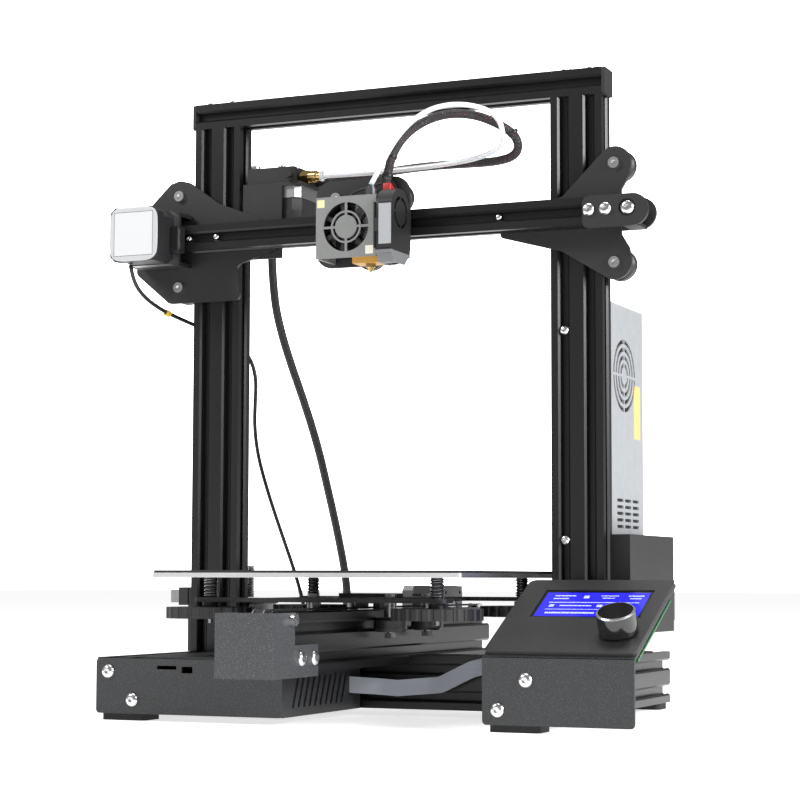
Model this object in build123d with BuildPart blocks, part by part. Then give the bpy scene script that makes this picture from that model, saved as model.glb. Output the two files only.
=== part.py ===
from build123d import *

import os
from math import atan2, cos, degrees, pi, radians, sin, tan

# Desktop filament printer on an open frame of V-slot beams.
# X runs right, Y runs back and Z up, in millimetres. The origin is on the ground,
# midway between the uprights and in their centre plane.

os.makedirs("parts", exist_ok=True)

# Driving dimensions
module = 20                 # side of one V-slot cell
foot_height = 5
half_width = 170            # outer faces of the uprights
total_height = 480
side_front = -148           # ends of the two base beams
side_rear = 160
base_top = foot_height + 2 * module
upright_x = half_width - module
gantry_z = 368.5            # centre of the cross rail
rail_y = -24.5
rail_left = -169.7
rail_right = 186
plate = 3                   # steel plate thickness
gantry_front = -14.5        # front face of the gantry plates
x_motor_x = -191.5
x_idler_x = 197.6
screw_x = -147              # lead screw axis
screw_y = 34
bed_y = -43.5               # centre of the bed at rest
bed_width = 237
bed_z = 102.7               # underside of the heated plate
deck_z = 85.3               # underside of the bed carriage
level_x = 88
level_y = 85.5
beam_y_low = 39             # underside of the bed rail
belt_z = 75.2               # axle height of the bed belt
y_idler_y = -222
y_motor_y = 170
belt_width = 6
belt_half = 0.7             # half of the belt thickness
x_belt_radius = 6.3
y_belt_radius = 5.6
motor_side = 42.3
shaft_radius = 2.5
running_gap = 0.05
head_x = -8.7               # centre of the print head shroud
nozzle_x = 4.3
nozzle_y = -55.5
nozzle_z = 329.3
extruder_x = -99.5
extruder_y = 12.7
filament_y = 6.3
filament_z = 418
panel_left = 129
panel_right = 235
panel_low = 53              # height of the front fold of the display bracket
panel_front = -150
panel_length = 109.4
panel_tilt = degrees(atan2(48.5, 98))


def slot_beam(columns, rows, length, base):
    """V-slot beam of columns by rows cells, pushed along the base plane's normal."""
    width = columns * module
    depth = rows * module
    with BuildPart() as beam:
        with BuildSketch(base):
            Rectangle(width, depth)
            for across, along, turn in ((columns, depth, 0), (rows, width, 90)):
                for side in (0, 180):
                    for cell in range(across):
                        offset = (cell - (across - 1) / 2) * module
                        spot = Location((0, 0), turn + side) * Location((offset, along / 2))
                        with Locations(spot):
                            with BuildLine(mode=Mode.PRIVATE) as groove:
                                Polyline((-4.6, 0.1), (-4.6, 0), (-3.1, -1.5), (-3.1, -1.8), (-5.5, -1.8),
                                         (-5.5, -3.2), (-2.9, -6.1), (2.9, -6.1), (5.5, -3.2), (5.5, -1.8),
                                         (3.1, -1.8), (3.1, -1.5), (4.6, 0), (4.6, 0.1), close=True)
                            add(make_face(groove.edges(), mode=Mode.PRIVATE), mode=Mode.SUBTRACT)
            with GridLocations(module, module, columns, rows):
                Circle(2.1, mode=Mode.SUBTRACT)
        extrude(amount=length)
    return beam.part


def button_screw(head_radius, head_height, shank_radius, shank_length):
    """Button-head socket screw standing on the XY plane with its head up."""
    with BuildPart() as screw:
        with BuildSketch(Plane.XZ):
            with BuildLine():
                rim = 0.35 * head_height
                Line((0, -shank_length), (shank_radius, -shank_length))
                Line((shank_radius, -shank_length), (shank_radius, 0))
                Line((shank_radius, 0), (head_radius, 0))
                Line((head_radius, 0), (head_radius, rim))
                ThreePointArc((head_radius, rim), (0.78 * head_radius, 0.82 * head_height),
                              (0.45 * head_radius, head_height))
                Line((0.45 * head_radius, head_height), (0, head_height))
                Line((0, head_height), (0, -shank_length))
            make_face()
        revolve(axis=Axis.Z)
        with BuildSketch(Plane.XY.offset(head_height)):
            RegularPolygon(0.38 * head_radius, 6)
        extrude(amount=-0.6 * head_height, mode=Mode.SUBTRACT)
    return screw.part


def stepper(length):
    """Square stepper motor with its mounting face on the XY plane, body below it."""
    bell = 9
    with BuildPart() as motor:
        with BuildSketch():
            Rectangle(motor_side, motor_side)
            chamfer(vertices(), 4)
        extrude(amount=-bell)
        with BuildSketch(Plane.XY.offset(-bell)):
            Rectangle(motor_side - 1.2, motor_side - 1.2)
            chamfer(vertices(), 6)
        extrude(amount=2 * bell - length)
        with BuildSketch(Plane.XY.offset(bell - length)):
            Rectangle(motor_side, motor_side)
            chamfer(vertices(), 4)
        extrude(amount=-bell)
        with BuildSketch():
            Circle(11)
        extrude(amount=2)
        with GridLocations(31, 31, 2, 2):
            Hole(1.5, depth=5)
        with BuildSketch(Plane.XY.offset(2)):
            Circle(shaft_radius + running_gap)
        extrude(amount=-16, mode=Mode.SUBTRACT)
    return motor.part


def belt_loop(span, radius, base):
    """Closed belt round two equal pulleys, centred on the base plane."""
    with BuildPart() as belt:
        with BuildSketch(base):
            SlotCenterToCenter(span, 2 * (radius + belt_half))
            SlotCenterToCenter(span, 2 * (radius - belt_half), mode=Mode.SUBTRACT)
        extrude(amount=belt_width / 2, both=True)
    return belt.part


def drive_pulley(belt_radius, shaft_front, shaft_back):
    """Toothed pulley centred on the XY plane, on a shaft that runs along Z."""
    core = belt_radius - belt_half - 0.3
    with BuildPart() as pulley:
        Cylinder(core, belt_width + 1)
        with Locations((0, 0, belt_width / 2 + 1), (0, 0, -belt_width / 2 - 1)):
            Cylinder(core + 2.2, 1.2)
        with BuildSketch(Plane.XY.offset(-shaft_back)):
            Circle(shaft_radius)
        extrude(amount=shaft_back + shaft_front)
    return pulley.part


def idler_pulley(belt_radius, bore):
    """Flanged idler centred on the XY plane."""
    core = belt_radius - belt_half - 0.3
    with BuildPart() as pulley:
        Cylinder(core, belt_width + 1)
        with Locations((0, 0, belt_width / 2 + 1), (0, 0, -belt_width / 2 - 1)):
            Cylinder(core + 2.2, 1.2)
        Cylinder(bore, belt_width + 10, mode=Mode.SUBTRACT)
    return pulley.part


def v_wheel():
    """V wheel with its axis along Z and a through bore."""
    with BuildPart() as wheel:
        with BuildSketch(Plane.XZ):
            with BuildLine():
                Polyline((2.6, -5.1), (9.9, -5.1), (12, -3), (12, 3), (9.9, 5.1), (2.6, 5.1), close=True)
            make_face()
        revolve(axis=Axis.Z)
    return wheel.part


def wheel_bolt(front, back):
    """Bolt along Z through a V wheel, with a hex nut at its back end."""
    with BuildPart() as bolt:
        with BuildSketch(Plane.XY.offset(-back)):
            Circle(2.45)
        extrude(amount=front + back)
        with BuildSketch(Plane.XY.offset(front)):
            Circle(4.2)
        extrude(amount=2.6)
        with BuildSketch(Plane.XY.offset(front + 2.6)):
            RegularPolygon(1.9, 6)
        extrude(amount=-1.6, mode=Mode.SUBTRACT)
        with BuildSketch(Plane.XY.offset(-back)):
            RegularPolygon(4.4, 6)
        extrude(amount=3.5)
    return bolt.part


def cord_tube(points, diameter, name):
    """Tube of straight runs joined by tangent arcs, as large as the runs allow."""
    knots = [Vector(*point) for point in points]
    runs = [after - before for before, after in zip(knots, knots[1:])]
    radii = []
    for first, second in zip(runs, runs[1:]):
        turn = radians(first.get_angle(second))
        shorter = min(first.length, second.length)
        radii.append(0.45 * shorter / tan(turn / 2))
    with BuildPart() as tube:
        with BuildLine() as route:
            FilletPolyline(*points, radius=radii)
        path = route.wires()[0]
        with BuildSketch(Plane(origin=path @ 0, z_dir=path % 0)):
            Circle(diameter / 2)
        sweep(path=path)
    section = pi * diameter ** 2 / 4
    print(name, "smallest radius", round(min(radii), 1), "length", round(path.length, 1),
          "volume ratio", round(tube.part.volume / section / path.length, 4))
    return tube.part


# ---- Base frame ----

side_length = side_rear - side_front
inner = half_width - 2 * module
cross_y = 4
cross_base = Plane(origin=(-inner, cross_y, foot_height + module), x_dir=(0, 1, 0), z_dir=(1, 0, 0))
with BuildPart() as base_beams:
    for side in (-1, 1):
        base = Plane(origin=(side * upright_x, side_rear, foot_height + module), x_dir=(1, 0, 0), z_dir=(0, -1, 0))
        add(slot_beam(2, 2, side_length, base))
    add(slot_beam(2, 2, 2 * inner, cross_base))
base_beams.part.label = "base_beams"
export_step(base_beams.part, "parts/base_beams.step")

upright_length = total_height - module - base_top
top_base = Plane(origin=(-half_width, 0, total_height - module / 2), x_dir=(0, 1, 0), z_dir=(1, 0, 0))
with BuildPart() as upper_frame:
    for side in (-1, 1):
        add(slot_beam(2, 1, upright_length, Plane(origin=(side * upright_x, 0, base_top))))
    add(slot_beam(1, 1, 2 * half_width, top_base))
upper_frame.part.label = "upper_frame"
export_step(upper_frame.part, "parts/upper_frame.step")

foot_spots = [(side * upright_x, y, 0) for side in (-1, 1) for y in (side_front + 14, side_rear - 14)]
with BuildPart() as caps_and_feet:
    for side in (-1, 1):
        with BuildSketch(Plane(origin=(side * half_width, 0, total_height - module / 2), z_dir=(side, 0, 0))):
            RectangleRounded(module, module, 1.5)
        extrude(amount=2.5)
    with BuildSketch():
        with Locations(*foot_spots):
            RectangleRounded(36, 24, 4)
    extrude(amount=foot_height)
caps_and_feet.part.label = "caps_and_feet"
export_step(caps_and_feet.part, "parts/caps_and_feet.step")

# ---- Bed rail, its belt and its motor ----

rail_front = -213
rail_back = 150
rail_top = beam_y_low + 2 * module
bed_rail_base = Plane(origin=(0, rail_back, beam_y_low + module), x_dir=(1, 0, 0), z_dir=(0, -1, 0))
with BuildPart() as bed_rail:
    add(slot_beam(2, 2, rail_back - rail_front, bed_rail_base))
    with Locations((0, (rail_front + rail_back) / 2, rail_top - 6)):
        Box(8.4, rail_back - rail_front, 13, mode=Mode.SUBTRACT)
    with Locations((0, cross_y, beam_y_low + 3)):
        Box(2 * module, 2 * module, base_top - beam_y_low, mode=Mode.SUBTRACT)
bed_rail.part.label = "bed_rail"
export_step(bed_rail.part, "parts/bed_rail.step")

bracket_front = -246
bracket_screw_y = (-207, -187)
motor_top = 82
with BuildPart() as frame_brackets:
    with BuildSketch(Plane.YZ.offset(-22)):
        Polygon((bracket_front, 36.5), (-180, 36.5), (-180, 58), (-216, 58), (-216, 79.5), (bracket_front, 79.5),
                align=None)
    extrude(amount=44)
    with Locations((0, bracket_front + 52, 58)):
        Box(40, 100, 60, mode=Mode.SUBTRACT)
    with Locations(Location((0, y_idler_y, belt_z), (0, 90, 0))):
        Cylinder(2.6, 60, mode=Mode.SUBTRACT)
    with Locations(*[Location((0, y, beam_y_low + module / 2), (0, 90, 0)) for y in bracket_screw_y]):
        Cylinder(2.2, 60, mode=Mode.SUBTRACT)
    with BuildSketch(Plane.YZ.offset(-23)):
        Polygon((120, 45), (146, 45), (149, 54), (191, 54), (191, 96), (149, 96), (149, 77), (120, 77), align=None)
        with Locations((y_motor_y, belt_z)):
            Circle(11.3, mode=Mode.SUBTRACT)
            with GridLocations(31, 31, 2, 2):
                Circle(1.6, mode=Mode.SUBTRACT)
    extrude(amount=3)
    with BuildSketch(Plane.XY.offset(motor_top)):
        with Locations((screw_x, (31 + screw_y) / 2)):
            Rectangle(42, screw_y + 11)
        with Locations((screw_x, screw_y)):
            Circle(11.3, mode=Mode.SUBTRACT)
            with GridLocations(31, 31, 2, 2):
                Circle(1.6, mode=Mode.SUBTRACT)
    extrude(amount=plate)
    with Locations((screw_x - 3, 11.2, 67.5)):
        Box(34, 2.4, 35)
frame_brackets.part.label = "frame_brackets"
export_step(frame_brackets.part, "parts/frame_brackets.step")

across = (0, 90, 0)
with BuildPart() as y_idler:
    with Locations(Location((0, y_idler_y, belt_z), across)):
        add(idler_pulley(y_belt_radius, shaft_radius + running_gap))
y_idler.part.label = "y_idler"
export_step(y_idler.part, "parts/y_idler.step")

with BuildPart() as frame_motors:
    with Locations(Location((-23, y_motor_y, belt_z), across)):
        add(stepper(34))
    with Locations((screw_x, screw_y, motor_top)):
        add(stepper(motor_top - base_top - 0.5))
frame_motors.part.label = "frame_motors"
export_step(frame_motors.part, "parts/frame_motors.step")

with BuildPart() as y_drive_pulley:
    with Locations(Location((0, y_motor_y, belt_z), across)):
        add(drive_pulley(y_belt_radius, 8, 34))
y_drive_pulley.part.label = "y_drive_pulley"
export_step(y_drive_pulley.part, "parts/y_drive_pulley.step")

with BuildPart() as y_belt:
    add(belt_loop(y_motor_y - y_idler_y, y_belt_radius,
                  Plane(origin=(0, (y_motor_y + y_idler_y) / 2, belt_z), x_dir=(0, 1, 0), z_dir=(1, 0, 0))))
y_belt.part.label = "y_belt"
export_step(y_belt.part, "parts/y_belt.step")

# ---- Control box ----

box_right = -20
box_back = -18
box_top = 44.5
with BuildPart() as control_box:
    with BuildSketch(Plane.XZ.offset(-panel_front - 2)):
        with Locations(((box_right - half_width) / 2, (foot_height + box_top) / 2)):
            RectangleRounded(half_width + box_right, box_top - foot_height, 3)
        with Locations((-112, 38.4)):
            RectangleRounded(16, 2.6, 0.8, mode=Mode.SUBTRACT)
        with Locations((-95.5, 37)):
            RectangleRounded(9, 4.6, 0.8, mode=Mode.SUBTRACT)
        with Locations((-160, 35), (-140, 15)):
            Circle(2.2, mode=Mode.SUBTRACT)
    extrude(amount=2)
    with BuildSketch(Plane.XY.offset(foot_height)):
        with Locations(((box_right - inner) / 2, (box_back + side_front) / 2)):
            Rectangle(inner + box_right, box_back - side_front)
    extrude(amount=2)
    with BuildSketch(Plane.XY.offset(foot_height)):
        with Locations((box_right - 1, (box_back + side_front) / 2)):
            Rectangle(2, box_back - side_front)
    extrude(amount=box_top - foot_height)
    with BuildSketch(Plane.YZ.offset(box_right - 3)):
        with Locations((-88, 22)):
            with GridLocations(9, 1, 10, 1):
                with Locations(Location((0, 0), 68)):
                    SlotOverall(24, 3)
    extrude(amount=4, mode=Mode.SUBTRACT)
    with Locations((box_right, -36, 23.4)):
        Box(6, 3, 15, mode=Mode.SUBTRACT)
    with BuildSketch(Plane.XY.offset(box_top)):
        with Locations(((box_right - inner) / 2, (box_back + side_front + 0.4) / 2)):
            Rectangle(inner + box_right, box_back - side_front - 0.4)
    extrude(amount=1.5)
    with Locations((-75, -100, box_top)):
        with GridLocations(7, 24, 7, 2):
            Box(3, 18, 6, mode=Mode.SUBTRACT)
    with Locations((-75, -37, box_top + 7)):
        Box(14, 10, 14)
control_box.part.label = "control_box"
export_step(control_box.part, "parts/control_box.step")

board_z = 12
with BuildPart() as mainboard:
    with Locations((-76, -95, board_z + 0.8)):
        Box(96, 84, 1.6)
    with Locations((-108, -62, 9.5), (-36, -62, 9.5), (-108, -128, 9.5), (-36, -128, 9.5)):
        Cylinder(3, 5)
    with Locations((-112, -133, board_z + 3)):
        Box(16, 15, 3)
    with Locations((-88, -92, board_z + 7.6)):
        with GridLocations(18, 1, 4, 1):
            Box(9, 9, 12)
    with Locations((-76, -61, board_z + 6)):
        Box(80, 12, 9)
mainboard.part.label = "mainboard"
export_step(mainboard.part, "parts/mainboard.step")

# ---- Coupling and lead screw ----

with BuildPart() as lead_screw:
    with BuildSketch(Plane.XY.offset(70)):
        with Locations((screw_x, screw_y)):
            Circle(shaft_radius)
    extrude(amount=20)
    with BuildSketch(Plane.XY.offset(87)):
        with Locations((screw_x, screw_y)):
            Circle(9)
    extrude(amount=25)
    with BuildSketch(Plane.XY.offset(111)):
        with Locations((screw_x, screw_y)):
            Circle(4)
    extrude(amount=349)
lead_screw.part.label = "lead_screw"
export_step(lead_screw.part, "parts/lead_screw.step")

# ---- Power supply ----

supply_left = 129
supply_right = 159
supply_front = 12
supply_back = 127
supply_low = 97
supply_high = 312
supply_mid_y = (supply_front + supply_back) / 2
fan_spot_y = 78
fan_spot_z = 258
with BuildPart() as supply_case:
    with BuildSketch(Plane.XY.offset(supply_low)):
        with Locations(((supply_left + supply_right) / 2, supply_mid_y)):
            Rectangle(supply_right - supply_left, supply_back - supply_front)
    extrude(amount=supply_high - supply_low)
    outer = Plane(origin=(supply_right, fan_spot_y, fan_spot_z), x_dir=(0, 1, 0), z_dir=(1, 0, 0))
    with BuildSketch(outer):
        for ring in range(4):
            Circle(28 - 6 * ring)
            Circle(24.8 - 6 * ring, mode=Mode.SUBTRACT)
        Rectangle(60, 2, mode=Mode.SUBTRACT)
        Rectangle(2, 60, mode=Mode.SUBTRACT)
    extrude(amount=-2, mode=Mode.SUBTRACT)
    with BuildSketch(Plane(origin=(supply_right, 86, 152), x_dir=(0, 1, 0), z_dir=(1, 0, 0))):
        with GridLocations(20, 5, 3, 5):
            SlotOverall(16, 2.4)
    extrude(amount=-1.5, mode=Mode.SUBTRACT)
supply_case.part.label = "supply_case"
export_step(supply_case.part, "parts/supply_case.step")

cover_right = 183
cover_low = 62
cover_high = 135
wall = 2
socket_x = 171
socket_z = 86
rocker_z = 116
with BuildPart() as supply_cover:
    with BuildSketch(Plane.XZ.offset(-supply_back)):
        Polygon((supply_left, cover_low), (cover_right, cover_low), (cover_right, cover_high),
                (supply_right, cover_high), (supply_right, supply_low), (supply_left, supply_low), align=None)
    extrude(amount=supply_back - supply_front)
    with BuildSketch(Plane.XZ.offset(-supply_back + wall)):
        Polygon((supply_left + wall, cover_low + wall), (cover_right - wall, cover_low + wall),
                (cover_right - wall, cover_high - wall), (supply_right, cover_high - wall),
                (supply_right, supply_low), (supply_left + wall, supply_low), align=None)
    extrude(amount=supply_back - supply_front - 2 * wall, mode=Mode.SUBTRACT)
    with Locations((socket_x, supply_back, socket_z)):
        Box(20, 8, 26, mode=Mode.SUBTRACT)
    with Locations((socket_x, supply_back, rocker_z)):
        Box(13.4, 8, 20, mode=Mode.SUBTRACT)
    with BuildSketch(Plane(origin=(cover_right, 60, 88), x_dir=(0, 1, 0), z_dir=(1, 0, 0))):
        Polygon((-27, -10), (27, -10), (9, 10), (-9, 10), align=None)
        Circle(2.2, mode=Mode.SUBTRACT)
    extrude(amount=1.6)
supply_cover.part.label = "supply_cover"
export_step(supply_cover.part, "parts/supply_cover.step")

with BuildPart() as power_inlet:
    with Locations((socket_x, supply_back - 9, socket_z)):
        Box(20, 20, 26)
    with Locations((socket_x, supply_back + 1.2, socket_z)):
        Box(24, 2.4, 31)
    with Locations((socket_x, supply_back - 6, socket_z)):
        Box(16.5, 16.8, 23, mode=Mode.SUBTRACT)
    with Locations((socket_x - 3.5, supply_back - 12, socket_z - 7), (socket_x + 3.5, supply_back - 12, socket_z),
                   (socket_x - 3.5, supply_back - 12, socket_z + 7)):
        Box(4, 6, 2)
    with Locations((socket_x, supply_back - 4, rocker_z)):
        Box(13.4, 12, 20)
    with Locations((socket_x, supply_back + 1, rocker_z)):
        Box(17, 2, 24)
    with Locations((socket_x, supply_back - 2.5, rocker_z)):
        Box(10.4, 11, 17, mode=Mode.SUBTRACT)
power_inlet.part.label = "power_inlet"
export_step(power_inlet.part, "parts/power_inlet.step")

with BuildPart() as power_rocker:
    with BuildSketch(Plane.YZ.offset(socket_x - 4.9)):
        with BuildLine():
            Polyline((supply_back - 3, rocker_z - 6.6), (supply_back + 1.2, rocker_z - 7.6),
                     (supply_back + 2.2, rocker_z), (supply_back + 4.4, rocker_z + 7.2),
                     (supply_back - 3, rocker_z + 6.6), close=True)
        make_face()
    extrude(amount=9.8)
power_rocker.part.label = "power_rocker"
export_step(power_rocker.part, "parts/power_rocker.step")

# ---- Display ----

panel_plane = Plane(origin=(0, panel_front, panel_low), x_dir=(1, 0, 0),
                    z_dir=(0, -sin(radians(panel_tilt)), cos(radians(panel_tilt))))
panel_mid = (panel_left + panel_right) / 2
panel_width = panel_right - panel_left
screen_x = 185.3
screen_s = 73
knob_x = 216
knob_s = 31
with BuildPart() as display_bracket:
    with BuildSketch(Plane.XZ.offset(-panel_front - 2)):
        with Locations((panel_mid, (foot_height + panel_low - 3.3) / 2)):
            Rectangle(panel_width, panel_low - 3.3 - foot_height)
        with Locations((160, 35), (140, 15)):
            Circle(2.2, mode=Mode.SUBTRACT)
    extrude(amount=2)
    fillet(edges().filter_by(Axis.Y).group_by(Axis.Z)[0], 3)
    with BuildSketch(panel_plane.offset(-3)):
        with Locations((panel_mid, panel_length / 2)):
            Rectangle(panel_width, panel_length)
            Rectangle(panel_width - 12, panel_length - 14, mode=Mode.SUBTRACT)
    extrude(amount=-2)
display_bracket.part.label = "display_bracket"
export_step(display_bracket.part, "parts/display_bracket.step")

with BuildPart() as display_panel:
    with BuildSketch(panel_plane.offset(-3)):
        with Locations((panel_mid, panel_length / 2 + 1.3)):
            RectangleRounded(panel_width, panel_length - 2.6, 5)
        with Locations((screen_x, screen_s)):
            Rectangle(79, 41, mode=Mode.SUBTRACT)
        with Locations((knob_x, knob_s)):
            Circle(4, mode=Mode.SUBTRACT)
    extrude(amount=3)
display_panel.part.label = "display_panel"
export_step(display_panel.part, "parts/display_panel.step")

with BuildPart() as display_board:
    with BuildSketch(panel_plane.offset(-8)):
        with Locations((panel_mid + 4.3, 52)):
            Rectangle(96.1, 88)
    extrude(amount=-1.6)
    with BuildSketch(panel_plane.offset(-9.6)):
        with Locations((143, 64), (143, 40)):
            Rectangle(9, 20)
    extrude(amount=-8)
    with BuildSketch(panel_plane.offset(-8)):
        with Locations((knob_x, knob_s)):
            Rectangle(12, 12)
            Circle(shaft_radius + running_gap, mode=Mode.SUBTRACT)
    extrude(amount=4.6)
    with BuildSketch(panel_plane.offset(-8)):
        with Locations((panel_mid + 1.5, 52)):
            with GridLocations(86.8, 82, 2, 2):
                Circle(2)
    extrude(amount=3)
display_board.part.label = "display_board"
export_step(display_board.part, "parts/display_board.step")

with BuildPart() as display_screen:
    with BuildSketch(panel_plane.offset(-8)):
        with Locations((screen_x, screen_s)):
            Rectangle(78.4, 40.4)
    extrude(amount=7.4)
display_screen.part.label = "display_screen"
export_step(display_screen.part, "parts/display_screen.step")

with BuildPart() as encoder_shaft:
    with BuildSketch(panel_plane.offset(-6.5)):
        with Locations((knob_x, knob_s)):
            Circle(shaft_radius)
    extrude(amount=14)
encoder_shaft.part.label = "encoder_shaft"
export_step(encoder_shaft.part, "parts/encoder_shaft.step")

with BuildPart() as menu_knob:
    with BuildSketch(panel_plane.offset(1.2)):
        with Locations((knob_x, knob_s)):
            Circle(13.4)
    extrude(amount=15)
    chamfer(edges().group_by(Axis((0, 0, 0), tuple(panel_plane.z_dir)))[-1], 0.8)
    with BuildSketch(panel_plane.offset(1.2)):
        with Locations((knob_x, knob_s)):
            Circle(shaft_radius + running_gap)
    extrude(amount=6.6, mode=Mode.SUBTRACT)
menu_knob.part.label = "menu_knob"
export_step(menu_knob.part, "parts/menu_knob.step")

# ---- Ribbon between the control box and the display ----

ribbon_height = 12
ribbon_plan = [(-21, -36), (0, -27), (40, -23), (80, -29), (112, -50), (138.5, -88)]
ribbon_rise = [(-21, 23.4), (14, 21), (48, 24), (74, 36), (104, 43), (138.5, 56)]
with BuildPart() as ribbon_cable:
    with BuildSketch():
        with BuildLine() as plan:
            FilletPolyline(*ribbon_plan, radius=24)
        trace(plan.line, 1.3)
    extrude(amount=90)
    with BuildSketch(Plane.XZ.offset(20)):
        with BuildLine() as rise:
            FilletPolyline(*ribbon_rise, radius=20)
        trace(rise.line, ribbon_height)
    extrude(amount=90, mode=Mode.INTERSECT)
ribbon_cable.part.label = "ribbon_cable"
export_step(ribbon_cable.part, "parts/ribbon_cable.step")

# ---- Gantry: plates, cross rail and its drive ----

rail_face = rail_y - module / 2
idler_left = 163.7
idler_right = 213.2
idler_screw_x = (168.5, 181.2)
drive_plate_z = 409
with BuildPart() as gantry_plates:
    with BuildSketch(Plane.XZ.offset(-gantry_front - plate)):
        Polygon((-189, 417), (-173, 417), (-146, 398), (-112, 385), (-92, 372), (-92, 359), (-130, 348), (-126, 320),
                (-190, 320), (-220, 345), (-220, 388), align=None)
        fillet(vertices(), 5)
        with Locations((-181, 406)):
            Circle(12.5)
        with Locations((-181, 406), (-181, 332.5)):
            Circle(2.5, mode=Mode.SUBTRACT)
        with Locations((-119, gantry_z)):
            Circle(4.8, mode=Mode.SUBTRACT)
    extrude(amount=plate)
    with BuildSketch(Plane.XZ.offset(-gantry_front - plate)):
        Polygon((172, 414.7), (193.4, 404), (192, 396), (186, 386), (186, 353), (192, 343), (193.4, 335),
                (175, 321.6), (140, 343), (92, 356), (92, 368), (141, 384), align=None)
        fillet(vertices(), 2.5)
        with Locations((181, 406), (181, 332.5)):
            Circle(12.5)
        with Locations((181, 406), (181, 332.5)):
            Circle(2.5, mode=Mode.SUBTRACT)
        with Locations((119, gantry_z)):
            Circle(4.8, mode=Mode.SUBTRACT)
    extrude(amount=plate)
    with Locations((x_motor_x, (rail_face + gantry_front) / 2, gantry_z)):
        Box(motor_side, gantry_front - rail_face, motor_side)
    with Locations((x_motor_x + 3, (rail_face + 3 + gantry_front) / 2, gantry_z)):
        Box(motor_side + 3, gantry_front - rail_face - 3, motor_side - 6, mode=Mode.SUBTRACT)
    with Locations(Location((x_motor_x, rail_face, gantry_z), (90, 0, 0))):
        Cylinder(11.3, 10, mode=Mode.SUBTRACT)
    with BuildSketch(Plane.XZ.offset(-rail_face)):
        with Locations(((idler_left + idler_right - 11.75) / 2, gantry_z - 1.7)):
            Rectangle(idler_right - 11.75 - idler_left, 23.5)
            fillet(vertices().group_by(Axis.X)[0], 5)
        with Locations((idler_right - 11.75, gantry_z - 1.7)):
            Circle(11.75)
    extrude(amount=plate)
    with Locations((194.7, gantry_front - plate / 2, gantry_z - 1.7)):
        Box(15, plate, 23.5)
    with BuildSketch(Plane.XZ.offset(-gantry_front)):
        with Locations((idler_right - 11.75, gantry_z - 1.7)):
            Circle(11.75)
    extrude(amount=plate)
    with Locations((200, rail_y, gantry_z - 12.2)):
        Box(12, module, 2.5)
    with Locations(Location((x_idler_x, rail_y, gantry_z), (90, 0, 0))):
        Cylinder(2.6, 60, mode=Mode.SUBTRACT)
    with Locations(Location((x_idler_x, rail_face - plate, gantry_z), (90, 0, 0))):
        Cylinder(6.5, 3, mode=Mode.SUBTRACT)
    with Locations(*[Location((x, rail_face - 1.5, gantry_z), (90, 0, 0)) for x in idler_screw_x]):
        Cylinder(2.2, 8, mode=Mode.SUBTRACT)
    with BuildSketch(Plane.XY.offset(drive_plate_z)):
        Polygon((-126, -11.5), (-76, -11.5), (-76, 34), (-122, 34), (-126, 48), (-160, 48), (-160, 13), (-126, 13),
                align=None)
        with Locations((screw_x, screw_y)):
            Circle(5.3, mode=Mode.SUBTRACT)
        with Locations((extruder_x, extruder_y)):
            Circle(11.3, mode=Mode.SUBTRACT)
    extrude(amount=plate)
    with Locations((-109, -10.25, (352 + drive_plate_z) / 2)):
        Box(34, 2.5, drive_plate_z - 352)
    with Locations(Location((-119, -10, gantry_z), (90, 0, 0))):
        Cylinder(5.2, 4, mode=Mode.SUBTRACT)
gantry_plates.part.label = "gantry_plates"
export_step(gantry_plates.part, "parts/gantry_plates.step")

rail_base = Plane(origin=(rail_left, rail_y, gantry_z), x_dir=(0, 1, 0), z_dir=(1, 0, 0))
with BuildPart() as cross_rail:
    add(slot_beam(1, 1, rail_right - rail_left, rail_base))
cross_rail.part.label = "cross_rail"
export_step(cross_rail.part, "parts/cross_rail.step")

facing_back = (-90, 0, 0)
with BuildPart() as gantry_motors:
    with Locations(Location((x_motor_x, rail_face, gantry_z), facing_back)):
        add(stepper(34))
    with Locations((extruder_x, extruder_y, drive_plate_z)):
        add(stepper(28))
gantry_motors.part.label = "gantry_motors"
export_step(gantry_motors.part, "parts/gantry_motors.step")

with BuildPart() as x_drive_pulley:
    with Locations(Location((x_motor_x, rail_y, gantry_z), facing_back)):
        add(drive_pulley(x_belt_radius, 7, 20))
x_drive_pulley.part.label = "x_drive_pulley"
export_step(x_drive_pulley.part, "parts/x_drive_pulley.step")

with BuildPart() as x_idler:
    with Locations(Location((x_idler_x, rail_y, gantry_z), facing_back)):
        add(idler_pulley(x_belt_radius, shaft_radius + running_gap))
x_idler.part.label = "x_idler"
export_step(x_idler.part, "parts/x_idler.step")

with BuildPart() as x_belt:
    add(belt_loop(x_idler_x - x_motor_x, x_belt_radius,
                  Plane(origin=((x_idler_x + x_motor_x) / 2, rail_y, gantry_z), x_dir=(1, 0, 0), z_dir=(0, -1, 0))))
x_belt.part.label = "x_belt"
export_step(x_belt.part, "parts/x_belt.step")

lift_wheel_spots = [(side * 181, 0, z) for side in (-1, 1) for z in (332.5, 406)]
lift_wheel_spots += [(side * 119, 0, gantry_z) for side in (-1, 1)]
with BuildPart() as lift_wheels:
    for spot in lift_wheel_spots:
        with Locations(Location(spot, (90, 0, 0))):
            add(v_wheel())
lift_wheels.part.label = "lift_wheels"
export_step(lift_wheels.part, "parts/lift_wheels.step")

# ---- Filament drive on the gantry ----

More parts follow.
